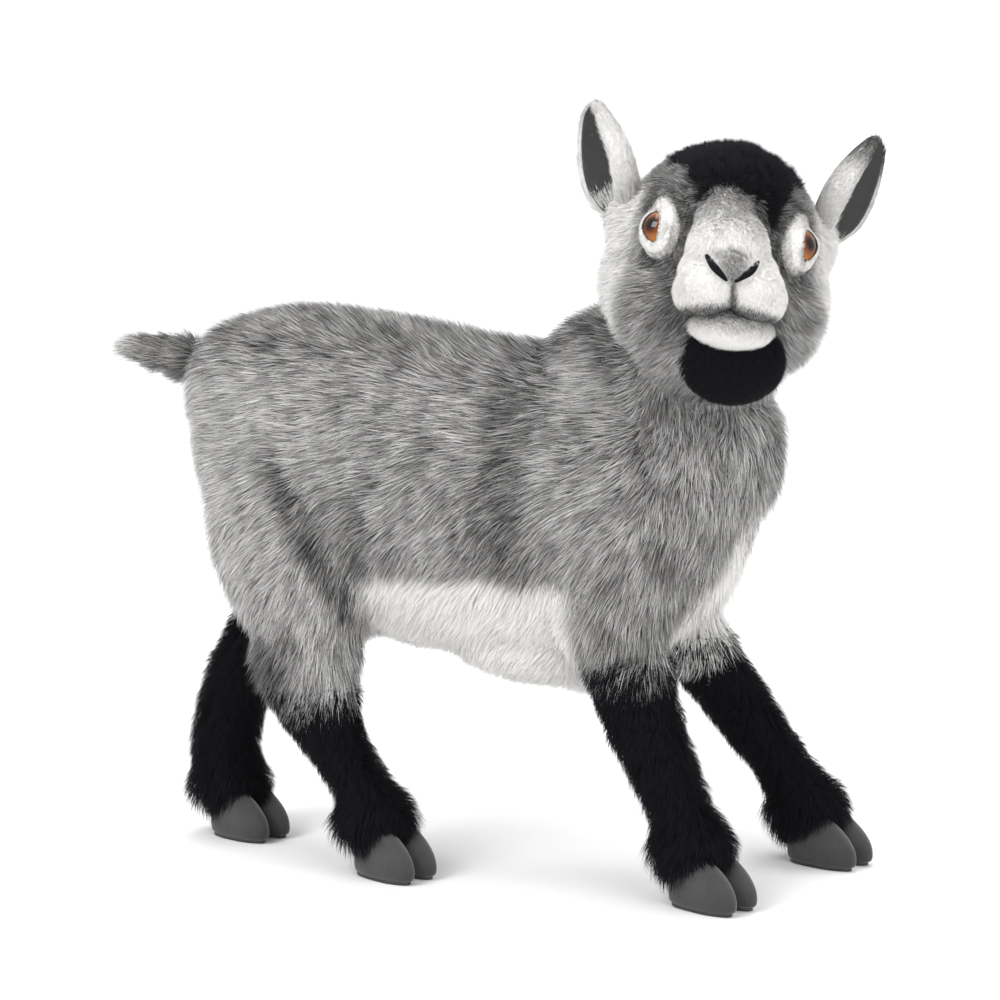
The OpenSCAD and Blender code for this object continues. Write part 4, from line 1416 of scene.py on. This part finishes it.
        # painted shade along the mouth, on the lobes' undersides above it
        mouth = step(z, arch + 4.6, arch + 0.3) * step(u, 66, 74)
        side = step(u, 80, 70) * step(z, 268, 282) * 0.5
        return np.clip(np.maximum.reduce([top * 0.70, pad * 0.66, crease_shade * 0.85, mouth * 0.85, side]), 0, 1)

    def nose_tone(self, points: Array, normals: Array) -> Array:
        """White, greyed where the nose is airbrushed and where shade is painted in the furrow and along the
        mouth.

        Args:
            points: Places, in millimetres in the body's frame.
            normals: The skin's directions there.

        Returns:
            One value for each place.
        """
        random = np.random.default_rng(66)
        shade = self.nose_shade(points)
        spread = random.normal(0, 0.03 + 0.10 * shade, len(points))
        return np.clip(Tone.WHITE.value - 0.80 * shade + spread, 0, 1)

    def lip_tone(self, points: Array, normals: Array) -> Array:
        """White, with speckled painted shade at its top, where it tucks under the upper lip.

        Args:
            points: Places, in millimetres in the body's frame.
            normals: The skin's directions there.

        Returns:
            One value for each place.
        """
        u, v, z = self.local(points)
        random = np.random.default_rng(67)
        # painted shade: grey at the lip's top, under the upper lip
        top = step(z, 250, 262)
        return np.clip(Tone.WHITE.value - 0.60 * top + random.normal(0, 0.03 + 0.14 * top, len(points)), 0, 1)

    def bib_tone(self, points: Array, normals: Array) -> Array:
        """Black, with a few lighter fibres as painted glints."""
        random = np.random.default_rng(68)
        # painted highlights: the lighter fibres stand for glints on the black bib
        return Tone.BLACK.value + np.abs(random.normal(0, 0.015, len(points)))

    def fall(self, points: Array, normals: Array) -> Array:
        """Down and back, as the muzzle's and the bib's short pile lies."""
        wander = np.stack([waves(points, 9, 71), waves(points, 9, 72), waves(points, 9, 73)], axis=1)
        return np.array([-0.35, 0.0, -1.0]) @ HEAD.turn().T + 0.3 * wander


# Where an eye sits on the head's panel and the way it faces, on the animal's right, in the head's frame
EYE_PLACE = (71.00, -29.64, 291.30)
EYE_NORMAL = (0.6765, -0.6554, 0.3360)


@dataclass
class Eye:
    """A domed eye in almond lids on its white patch; side is 1 on the animal's right."""

    side: int
    radius: float = 7.5
    almond: tuple = (4.5, 7.3)
    patch: tuple = (10.0, 14.0)
    rise: float = 1.6
    slant: float = 0.42
    profile: tuple = ()

    @property
    def name(self) -> str:
        """Side as a word."""
        return "right" if self.side == 1 else "left"

    def opening(self, angle: float) -> tuple[float, float]:
        """Place on the lids' opening, an almond with pointed ends, at an angle around it."""
        c, s = math.cos(angle), math.sin(angle)
        return self.almond[0] * math.copysign(abs(c) ** 1.3, c), self.almond[1] * s

    def axes(self) -> tuple[Array, Array, Array, Array]:
        """Middle of the eye on its patch and its three directions, in the body's frame.

        Returns:
            Middle, sideways, upward and outward.
        """
        middle = HEAD.out(np.array([[EYE_PLACE[0], EYE_PLACE[1] * self.side, EYE_PLACE[2]]]))[0]
        outward = HEAD.turn() @ unit(np.array([EYE_NORMAL[0], EYE_NORMAL[1] * self.side, EYE_NORMAL[2]]))
        up = HEAD.turn() @ unit(np.array([0.0, -self.side * self.slant, 1.0]))
        up = unit(up - (up @ outward) * outward)
        return middle, unit(np.cross(up, outward)), up, outward

    def share(self, points: Array) -> Array:
        """Distance from the patch's middle as a share of its size.

        Args:
            points: Places, in millimetres in the body's frame.

        Returns:
            One value for each place.
        """
        middle, side, rise, outward = self.axes()
        off = points - middle
        return np.sqrt((off @ side / self.patch[0]) ** 2 + ((off @ rise - self.rise) / self.patch[1]) ** 2
                       + (off @ outward / 12.0) ** 2)

    def trim(self, points: Array, normals: Array) -> Array:
        """Longer pile at the patch's edge, which blends into the cheek's."""
        return 1 + 1.7 * step(self.share(points), 0.62, 1.0)

    def on_skin(self, tree: BVHTree, across: float, up: float) -> Array:
        """Point of the skull's skin under a place beside the eye's middle, in millimetres.

        Args:
            tree: The skull's skin, in metres.
            across: Sideways distance.
            up: Upward distance.

        Returns:
            The point.
        """
        middle, side, rise, outward = self.axes()
        start = middle + side * across + rise * up + outward * 14
        hit = tree.ray_cast(Vector(start * MM), Vector(-outward), 0.05)
        if hit[0] is None:
            hit = tree.find_nearest(Vector(start * MM))
        return np.array(hit[0]) / MM

    def lids(self, tree: BVHTree, rings: int = 12, around: int = 48) -> bpy.types.Object:
        """The white patch with a raised almond opening for the eye.

        Args:
            tree: The skull's skin, in metres.
            rings: How finely it is divided.
            around: Points of one ring.

        Returns:
            The object, in drawing coordinates.
        """
        middle, side, rise, outward = self.axes()
        points = []
        for k in range(-2, rings):
            t = max(0, k) / (rings - 1)
            for a in np.linspace(0, 2 * math.pi, around, endpoint=False):
                c, s = math.cos(a), math.sin(a)
                x0, y0 = self.opening(a)
                x1, y1 = self.patch[0] * c, self.patch[1] * s + self.rise
                across, up = x0 + (x1 - x0) * t, y0 + (y1 - y0) * t
                under = self.on_skin(tree, across, up)
                dome = self.dome_height(math.hypot(across, up))
                low = (under - middle) @ outward
                away = math.hypot(across, up)
                shell = dome + 0.7 - 0.8 * max(0.0, away - self.radius - 0.2)
                top = max(low + 0.2 + 1.0 * (1 - t) ** 1.3, shell if t < 0.8 else low)
                if k < 0:
                    top = dome + 0.75 + 0.9 * k
                points.append(middle + side * across + rise * up + outward * top)
        faces = tube_faces(rings + 2, around, False)
        return mesh_object("eye_patch_cloth_" + self.name, np.array(points), faces)

    def dome_height(self, away: float) -> float:
        """Height of the eye's dome over its patch's middle, away from its axis.

        Args:
            away: Distance from the eye's axis.

        Returns:
            The height, in millimetres.
        """
        if not self.profile:
            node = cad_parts["eye_" + self.name]
            middle, _, _, outward = self.axes()
            flat = np.empty(len(node.data.vertices) * 3)
            node.data.vertices.foreach_get("co", flat)
            placed = node.matrix_world
            world = flat.reshape(-1, 3) @ np.array(placed.to_3x3()).T + np.array(placed.translation)
            offset = world / MM - CENTRING - middle
            height = offset @ outward
            reach = np.linalg.norm(offset - height[:, None] * outward, axis=1)
            dome = height > height.max() - 4.4
            order = np.argsort(reach[dome])
            self.profile = (reach[dome][order], height[dome][order])
        return float(np.interp(away, *self.profile))

    def fall(self, points: Array, normals: Array) -> Array:
        """Away from the eye and down, as the patch's pile lies."""
        return unit(points - self.axes()[0]) + np.array([0, 0, -0.5])

    def cloth_tone(self, points: Array, normals: Array) -> Array:
        """White, shaded grey towards the patch's outer edge.

        Args:
            points: Places, in millimetres in the body's frame.
            normals: The skin's directions there.

        Returns:
            One value for each place.
        """
        random = np.random.default_rng(340)
        away = self.share(points)
        shade = step(away, 0.78, 1.06) + 0.25 * waves(points, 7, 341) * step(away, 0.5, 0.8)
        spread = random.normal(0, 0.03 + 0.06 * step(away, 0.6, 1), len(points))
        return Tone.WHITE.value - 0.50 * np.clip(shade, 0, 1) + spread

    def rim(self, around: int = 64) -> bpy.types.Object:
        """Thin dark rim along the lids' opening, pointed at its corners.

        Args:
            around: Points of one ring.

        Returns:
            The object, in drawing coordinates.
        """
        middle, side, rise, outward = self.axes()
        rings = []
        for a in np.linspace(0, 2 * math.pi, around, endpoint=False):
            c, s = math.cos(a), math.sin(a)
            across, up = self.opening(a)
            height = self.dome_height(math.hypot(across, up)) + 0.35
            core = middle + side * across + rise * up + outward * height
            inward = -unit(side * c + rise * s)
            rings.append([core + 0.42 * (inward * math.cos(b) + outward * math.sin(b))
                          for b in np.linspace(0, 2 * math.pi, 8, endpoint=False)])
        n = 8
        faces = [(i * n + j, i * n + (j + 1) % n, (i + 1) % around * n + (j + 1) % n, (i + 1) % around * n + j)
                 for i in range(around) for j in range(n)]
        return mesh_object("eye_rim_" + self.name, np.vstack(rings), faces)

    def finish(self) -> EyeFinish:
        """Finish of the eye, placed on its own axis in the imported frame.

        Returns:
            The finish.
        """
        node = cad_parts["eye_" + self.name]
        middle, _, _, outward = self.axes()
        into = node.matrix_world.inverted()
        centre = into @ Vector((middle + CENTRING) * MM)
        axis = (into.to_3x3() @ Vector(outward)).normalized()
        scale = into.to_scale()[0]
        return EyeFinish("eye_" + self.name, centre, axis, self.radius * MM * scale, 0.30)


@dataclass
class Ear:
    """A cupped ear with white pile on its back and charcoal suede inside; side is 1 on the right."""

    side: int
    length: float = 44.0
    width: float = 39.0
    lean: float = 25.0
    turn: float = 56.0
    root: tuple = (25.0, 42.5, 300.0)
    # share of the length, share of the width
    shape: tuple = (
        (-0.10, 0.50), (0.04, 0.74), (0.16, 0.92), (0.30, 1.00), (0.44, 0.98), (0.58, 0.89), (0.72, 0.74),
        (0.86, 0.53), (0.95, 0.34), (1.00, 0.16),
    )

    @property
    def name(self) -> str:
        """Side as a word."""
        return "right" if self.side == 1 else "left"

    def _to_body(self, points: Array) -> Array:
        """From the ear's own frame to the body's.

        Args:
            points: Places, in millimetres in the body's frame.

        Returns:
            The points in the body's frame.
        """
        t, l = math.radians(-self.side * self.turn), math.radians(self.side * self.lean)
        about_z = np.array([[math.cos(t), -math.sin(t), 0], [math.sin(t), math.cos(t), 0], [0, 0, 1]])
        about_x = np.array([[1, 0, 0], [0, math.cos(l), -math.sin(l)], [0, math.sin(l), math.cos(l)]])
        own = np.asarray(points) @ (about_x @ about_z).T
        return HEAD.out(own + np.array([self.root[0], -self.side * self.root[1], self.root[2]]))

    def section(self, depth: float, first: float, last: float, columns: int) -> Array:
        """One cross-section for a width of one, rolled over at its front edge.

        Args:
            depth: Distance of this face from the ear's middle surface, as a share of the width.
            first: Where the face begins, as a share of the way from the front edge.
            last: Where it ends.
            columns: Number of points.

        Returns:
            The points.
        """
        s = np.linspace(0, 1, 81)
        heading = np.radians(np.interp(s, (0, 0.12, 0.52, 1.0), (214, 190, 62, 34)))
        path = np.cumsum(np.stack([np.cos(heading), np.sin(heading)], axis=1), axis=0) / 81
        path -= path[44]
        spots = np.linspace(first, last, columns)
        across = np.stack([np.interp(spots, s, path[:, k]) for k in range(2)], axis=1)
        turned = np.interp(spots, s, heading)
        return across + depth * np.stack([np.sin(turned), -np.cos(turned)], axis=1)

    def surface(self, depth: float, first: float, last: float, rows: int = 24, columns: int = 25) -> Array:
        """Grid of one face of the ear, depth in millimetres.

        Args:
            depth: Share of the way from root to tip whose colour shows.
            first: Where it begins across the ear, from 0 to 1.
            last: Where it ends.
            rows: Number of rings or rows.
            columns: Points across.

        Returns:
            The grid of points.
        """
        table = spline_rows(np.array(self.shape), 6)
        spots = np.linspace(0, len(table) - 1, rows).round().astype(int)
        grid = []
        for place, wide in table[spots]:
            size = self.width * wide
            ring = self.section(depth / size, first, last, columns) * size
            grid.append(np.column_stack([ring[:, 0] - 2.5 * math.sin(max(0.0, min(1.0, place)) * math.pi),
                                         -self.side * ring[:, 1], np.full(columns, place * self.length)]))
        return np.array(grid)

    def leaf(self, name: str, front: float, back: float, first: float, last: float) -> bpy.types.Object:
        """Closed leaf between two depths.

        Args:
            name: Its name.
            front: Depth of the front face, in millimetres.
            back: Depth of the back face.
            first: Where it begins across the ear, from 0 to 1.
            last: Where it ends.

        Returns:
            The object, in drawing coordinates.
        """
        a, b = self.surface(front, first, last), self.surface(back, first, last)
        rows, columns = a.shape[:2]
        rings = np.concatenate([a, b[:, ::-1]], axis=1)
        faces = tube_faces(rows, columns * 2)
        return mesh_object(name, self._to_body(rings.reshape(-1, 3)), faces)

    def along(self, points: Array, normals: Array) -> Array:
        """Towards the tip, with a little spread."""
        tip = self._to_body(np.array([[0, 0, self.length]]))[0] - self._to_body(np.array([[0, 0, 0]]))[0]
        return unit(tip) + 0.25 * np.stack([waves(points, 14, 81 + k) for k in range(3)], axis=1)

    def back_tone(self, points: Array, normals: Array) -> Array:
        """White, greyer on the left ear towards its tip.

        Args:
            points: Places, in millimetres in the body's frame.
            normals: The skin's directions there.

        Returns:
            One value for each place.
        """
        random = np.random.default_rng(84)
        root, tip = self._to_body(np.array([[0, 0, 0], [0, 0, self.length]]))
        share = (points - root) @ unit(tip - root) / self.length
        grey_tip = step(share, 0.55, 0.95) * (0.55 if self.side == -1 else 0.12)
        return Tone.WHITE.value - 0.10 - grey_tip + random.normal(0, 0.06 + 0.12 * grey_tip, len(points))

    def trim(self, points: Array, normals: Array) -> Array:
        """Longer pile at the ear's root, which covers its seam.

        Args:
            points: Places, in millimetres in the body's frame.
            normals: The skin's directions there.

        Returns:
            One value for each place.
        """
        root, tip = self._to_body(np.array([[0, 0, 0], [0, 0, self.length]]))
        share = (points - root) @ unit(tip - root) / self.length
        return 1 + 1.0 * step(share, 0.24, 0.0)


@dataclass
class Tail:
    """The short upright-haired tail on its own root."""

    root: tuple = (-160.0, 0.0, 233.22)

    def skin(self) -> bpy.types.Object:
        """Stuffed core of the tail.

        Returns:
            The object, in drawing coordinates.
        """
        parts = [ellipsoid((self.root[0] + 2, 0, self.root[2] - 3), (9, 7.5, 8.0)),
                 ellipsoid((self.root[0] - 8, 0, self.root[2] - 1), (11, 6.0, 6.4)),
                 ellipsoid((self.root[0] - 18, 0, self.root[2] + 1), (8, 4.0, 4.4))]
        return fused("tail_skin", parts, 1.6, 3)

    def comb(self, points: Array, normals: Array) -> Array:
        """Back along the tail."""
        return np.array([-1.0, 0, 0.08]) + 0.2 * np.stack([waves(points, 12, 91 + k) for k in range(3)], axis=1)

    def tone(self, points: Array, normals: Array) -> Array:
        """Dark grey above and paler at its sides.

        Args:
            points: Places, in millimetres in the body's frame.
            normals: The skin's directions there.

        Returns:
            One value for each place.
        """
        random = np.random.default_rng(94)
        tip = step(points[:, 0], self.root[0] - 12, self.root[0] - 24)
        return 0.36 - 0.10 * step(normals[:, 2], 0.2, 0.9) + 0.30 * tip + random.normal(0, 0.10, len(points))

    def trim(self, points: Array, normals: Array) -> Array:
        """Longest at the tail's tip, so that it ends in a point."""
        return 0.80 + 0.32 * step(points[:, 0], self.root[0] - 14, self.root[0] - 25)


# ---------------------------------------------------------------- the whole goat


@dataclass
class Goat:
    """Builds and dresses every piece."""

    torso: Torso = field(default_factory=Torso)
    head: Head = field(default_factory=Head)
    tail: Tail = field(default_factory=Tail)
    materials: dict = field(default_factory=dict)

    def prepare(self) -> None:
        """Makes the finishes that several pieces share."""
        self.materials = {
            "pile": PileFinish().material(),
            "black": PileFinish("black_pile", 0.75, 0.0, 0.09).material(),
            # painted shade darkens the hooves' suede below 12 mm
            "suede": SuedeFinish("hoof_suede", grey(0.048), grey(0.008), 0.012, 0.016).material(),
            "leather": LeatherFinish().material(),
            "lining": SuedeFinish("ear_suede", grey(0.036), grey(0.009), -1.0, 0.01).material(),
            "thread": ThreadFinish("thread", (0.003, 0.003, 0.004), (0.012, 0.012, 0.014),
                                   shine=0.06).material(),
            "rim": ThreadFinish("eye_rim", (0.006, 0.004, 0.003), (0.03, 0.022, 0.018), 0.5).material(),
            "wire": ThreadFinish("wire", grey(0.30), grey(0.42), 0.35, 1.0).material(),
            "washer": ThreadFinish("washer", (0.70, 0.70, 0.66), (0.80, 0.80, 0.77), 0.4).material(),
        }

    def _pile(self, name: str, pile: Pile, skin: Skin, body: str, slot: Cloth,
              nodes: Sequence[str] = ()) -> bpy.types.Object:
        """Grows one pile, lets it ride and hides the drawn pieces that it shows.

        Args:
            name: Name of the piece.
            pile: Its fibres.
            skin: Where they grow.
            body: The body that carries it.
            slot: The cloth it is cut from.
            nodes: The drawn pieces that it shows.

        Returns:
            The fibres' object.
        """
        finish = "black" if slot is Cloth.BLACK_PILE else "pile"
        obj = settle(pile.grow(name, skin), body, self.materials[finish])
        if nodes:
            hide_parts(*nodes)
        return obj

    def build_body(self) -> None:
        """Body, neck and upper legs with their long pile in panels."""
        torso = self.torso
        skin_object = torso.skin(LEGS)
        toned(skin_object, torso.tone, 0.10)
        skin = Skin.of(skin_object)
        settle(skin_object, "torso", self.materials["pile"])
        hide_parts("torso_stuffing", "neck_stuffing", *(
            f"{leg}_stuffing_{side}" for leg in ("foreleg", "hind_leg") for side in ("right", "left")))
        shows = {
            "flank_pile_right": ("flank_fur_right",), "flank_pile_left": ("flank_fur_left",),
            "shoulder_pile_right": ("shoulder_fur_right", "neck_fur"),
            "shoulder_pile_left": ("shoulder_fur_left",),
            "underside_pile": ("belly_fur", "upper_foreleg_fur_right", "upper_foreleg_fur_left",
                               "haunch_fur_right", "haunch_fur_left"),
        }
        for number, (name, nodes) in enumerate(shows.items()):
            pile = Pile(100 + number, 2.0, 14.0, 0.37, torso.comb, torso.tone, clump=4.2, trim=torso.trim,
                        stand=torso.stand, keep=partial(torso.in_panel, name))
            self._pile(name, pile, skin, "torso", Cloth.GREY_FUR, nodes)

    def build_legs(self) -> None:
        """Black socks, hooves and soles."""
        for number, leg in enumerate(LEGS):
            sock = leg.sock()
            toned(sock, leg.tone, 0.2)
            skin = Skin.of(sock)
            settle(sock, "torso", self.materials["black"])
            kind, side = leg.name.rsplit("_", 1)
            pile = Pile(200 + number, 2.4, 8.5, 0.34, leg.comb, leg.tone, lift=0.50, clump=3.4, trim=leg.trim)
            self._pile(f"{leg.name}_sock_pile", pile, skin, "torso", Cloth.BLACK_PILE,
                       (f"{kind}_sock_{side}",))
            hoof = Hoof(leg)
            short = "fore" if kind == "foreleg" else "hind"
            toes = [hoof.toe(side_sign) for side_sign in (-1, 1)]
            for toe, word in zip(toes, ("outer", "inner")):
                soft = toe.modifiers.new("round", "SUBSURF")
                soft.levels = 2
                apply_modifiers(toe)
                toe.name = f"{leg.name}_toe_{word}"
                settle(toe, "torso", self.materials["suede"])
                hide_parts(f"{short}_hoof_{side}")
            soles = settle(hoof.soles(), "torso", self.materials["leather"])
            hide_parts(f"{short}_sole_{side}")

    def build_head(self) -> None:
        """Head, muzzle, lip, bib, eyes and nose."""
        head = self.head
        skins = head.skins()
        tones = {"head_skin": head.tone, "muzzle": head.nose_tone, "lower_lip_skin": head.lip_tone,
                 "chin_bib_skin": head.bib_tone}
        grown = {}
        depths = {"head_skin": 0.15, "muzzle": 0.8, "lower_lip_skin": 0.8, "chin_bib_skin": 0.2}
        nodes = {"head_skin": ("head_stuffing", "throat_cloth"), "muzzle": ("muzzle_stuffing",),
                 "lower_lip_skin": ("lower_lip",), "chin_bib_skin": ("chin_bib",)}
        tree = None
        for name, obj in skins.items():
            toned(obj, tones[name], depths[name])
            grown[name] = Skin.of(obj)
            if name == "head_skin":
                tree = grown[name].tree()
            settle(obj, "head", self.materials["black" if name == "chin_bib_skin" else "pile"])
            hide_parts(*nodes[name])
        for number, (word, side, nodes_shown) in enumerate((
                ("right", -1, ("cheek_fur_right", "nape_fur")), ("left", 1, ("cheek_fur_left", "jaw_fur")))):
            cheek = Pile(300 + number, 3.8, 9.5, 0.26, head.comb, head.tone, lift=0.52, clump=2.6,
                         trim=head.trim, keep=partial(head.keep_cheek, side))
            self._pile("cheek_pile_" + word, cheek, grown["head_skin"], "head", Cloth.GREY_FUR, nodes_shown)
        cap_pile = Pile(305, 4.2, 9.0, 0.28, head.comb, head.tone, lift=0.72, clump=3.4, stray=0.55,
                        trim=head.trim, keep=head.keep_cap)
        self._pile("cap_pile", cap_pile, grown["head_skin"], "head", Cloth.BLACK_PILE, ("crown_fur",))
        muzzle = Pile(310, 6.6, 2.7, 0.23, head.fall, head.nose_tone, lift=0.5, clump=1.5)
        self._pile("muzzle_short_pile", muzzle, grown["muzzle"], "head", Cloth.WHITE_PILE, ("muzzle_pile",))
        self._pile("lip_short_pile", Pile(320, 9.0, 2.2, 0.20, head.fall, head.lip_tone, clump=1.5),
                   grown["lower_lip_skin"], "head", Cloth.WHITE_PILE)
        self._pile("bib_pile", Pile(330, 6.0, 3.6, 0.26, head.fall, head.bib_tone, clump=2.5),
                   grown["chin_bib_skin"], "head", Cloth.BLACK_PILE)
        for eye in (Eye(1), Eye(-1)):
            lids = eye.lids(tree)
            toned(lids, eye.cloth_tone, 0.8)
            lid_skin = Skin.of(lids)
            settle(lids, "head", self.materials["pile"])
            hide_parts(f"eye_patch_{eye.name}")
            pile = Pile(350, 9.0, 1.9, 0.2, eye.fall, eye.cloth_tone, clump=1.5, trim=eye.trim)
            self._pile(f"eye_patch_pile_{eye.name}", pile, lid_skin, "head", Cloth.WHITE_PILE)
            settle(eye.rim(), "head", self.materials["rim"])
            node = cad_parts[f"eye_{eye.name}"]
            node.data.materials.clear()
            node.data.materials.append(eye.finish().material())
        self.build_nose(grown["muzzle"])

    def build_nose(self, skin: Skin) -> None:
        """Two thick black nostril slits that form a V on the nose.

        Args:
            skin: The muzzle's skin.
        """
        head = self.head
        tree = skin.tree()
        forward = HEAD.turn() @ np.array([1.0, 0.0, 0.0])
        for side, word in ((-1, "right"), (1, "left")):
            ends = ((1.6, 274.6), (4.6, 277.2), (8.0, 280.2), (11.0, 284.0))
            rings = []
            path = spline_rows(np.array(ends), 6)
            for k, (v, z) in enumerate(path):
                t = k / (len(path) - 1)
                fat = 0.30 + 1.55 * math.sin(math.pi * min(1, t * 0.95 + 0.03)) ** 0.8 * (0.5 + 0.6 * t)
                start = HEAD.out(np.array([[130, side * v, z]]))[0]
                hit = tree.ray_cast(Vector(start * MM), Vector(-forward), 0.2)[0]
                core = np.array(hit) / MM
                across = HEAD.turn() @ unit(np.array([0, side * 0.62, -0.78]))
                rings.append([core + fat * across * math.cos(b) + forward * (0.9 * math.sin(b) + 1.2)
                              for b in np.linspace(0, 2 * math.pi, 12, endpoint=False)])
            obj = mesh_object("nostril_" + word, np.vstack(rings), tube_faces(len(rings), 12))
            settle(obj, "head", self.materials["thread"])
            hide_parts("nose_stitching")

    def build_ears(self) -> None:
        """Both ears."""
        for ear in (Ear(1), Ear(-1)):
            body = "ear_" + ear.name
            back = ear.leaf("ear_cloth_" + ear.name, -2.0, 0.0, 0.0, 1.0)
            toned(back, ear.back_tone, 0.8)
            skin = Skin.of(back)
            settle(back, body, self.materials["pile"])
            pile = Pile(400, 6.0, 3.8, 0.22, ear.along, ear.back_tone, lift=0.28, clump=2.2, trim=ear.trim)
            self._pile("ear_pile_" + ear.name, pile, skin, body, Cloth.EAR_FUR,
                       (f"ear_back_{ear.name}",))
            lining = ear.leaf("ear_lining_cloth_" + ear.name, 0.3, 1.3, 0.04, 0.96)
            settle(lining, body, self.materials["lining"])
            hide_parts(f"ear_lining_{ear.name}")

    def build_tail(self) -> None:
        """The tail."""
        obj = self.tail.skin()
        toned(obj, self.tail.tone, 0.15)
        skin = Skin.of(obj)
        settle(obj, "tail", self.materials["pile"])
        pile = Pile(500, 4.2, 14.0, 0.32, self.tail.comb, self.tail.tone, lift=0.32, clump=3.4, gather=0.45,
                    trim=self.tail.trim)
        self._pile("tail_pile", pile, skin, "tail", Cloth.GREY_FUR, ("tail_fur",))

    def dress_hidden(self) -> None:
        """Finishes of the wires and washers inside."""
        for name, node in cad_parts.items():
            if name.endswith("wire") or "_wire_" in name:
                node.data.materials.clear()
                node.data.materials.append(self.materials["wire"])
            elif "washer" in name:
                node.data.materials.clear()
                node.data.materials.append(self.materials["washer"])


@dataclass
class Studio:
    """Pale floor, soft lamps and the camera, in metres."""

    distance: float = 1.25
    height: float = 0.320
    azimuth: float = 20.0
    target: tuple = (0.0073, 0.0193, 0.169)
    lens: float = 99.0

    def floor(self) -> None:
        """A plain pale floor that rises behind."""
        profile = [(-9.0, 0.0), (1.2, 0.0)]
        profile += [(1.2 + 1.0 * math.sin(a), 1.0 - math.cos(a)) for a in np.linspace(0, math.pi / 2, 16)[1:]]
        profile.append((2.2, 3.4))
        points = [(x * 1000, y * 1000, z * 1000 - 0.4) for x in (-9.0, 9.0) for y, z in profile]
        n = len(profile)
        obj = mesh_object("floor", np.array(points), [(i + 1, i, n + i, n + i + 1) for i in range(n - 1)])
        for polygon in obj.data.polygons:
            polygon.use_smooth = True
        shader = Shader("floor")
        obj.data.materials.append(shader.finish(Base_Color=(0.86, 0.86, 0.86), Roughness=0.9))

    def lamp(self, name: str, place: tuple, size: float, power: float) -> None:
        """A square soft lamp that faces the object.

        Args:
            name: Its name.
            place: Where it hangs, in metres.
            size: Side of its square.
            power: Its power, in watts.
        """
        light = bpy.data.lights.new(name, "AREA")
        light.size = size
        light.energy = power
        obj = bpy.data.objects.new(name, light)
        obj.location = place
        obj.rotation_euler = (Vector(self.target) - Vector(place)).to_track_quat("-Z", "Y").to_euler()
        bpy.context.scene.collection.objects.link(obj)

    def build(self) -> None:
        """Sets up everything round the object."""
        self.floor()
        self.lamp("key", (-0.9, -1.5, 1.7), 1.2, 34.0)
        self.lamp("fill", (1.7, -1.3, 1.0), 1.4, 22.0)
        self.lamp("top", (0.0, 0.3, 2.2), 1.6, 26.0)
        bpy.context.scene.view_settings.view_transform = "Standard"
        world = bpy.data.worlds.new("studio")
        world.use_nodes = True
        world.node_tree.nodes["Background"].inputs[0].default_value = (1.0, 1.0, 1.0, 1.0)
        world.node_tree.nodes["Background"].inputs[1].default_value = 0.75
        bpy.context.scene.world = world
        camera = bpy.data.cameras.new("camera")
        camera.lens = self.lens
        camera.sensor_width = 36.0
        camera.clip_start = 0.01
        obj = bpy.data.objects.new("camera", camera)
        a = math.radians(self.azimuth)
        obj.location = (self.target[0] + self.distance * math.sin(a),
                        self.target[1] - self.distance * math.cos(a), self.height)
        obj.rotation_euler = (Vector(self.target) - obj.location).to_track_quat("-Z", "Y").to_euler()
        bpy.context.scene.collection.objects.link(obj)
        bpy.context.scene.camera = obj


def main() -> None:
    """Builds the goat and the studio."""
    logging.basicConfig(level=logging.INFO, format="%(message)s")
    goat = Goat()
    goat.prepare()
    for part in (goat.build_body, goat.build_legs, goat.build_head, goat.build_ears, goat.build_tail,
                 goat.dress_hidden):
        part()
        log.info("%s done", part.__name__)
    Studio().build()


if __name__ == "__main__":
    main()
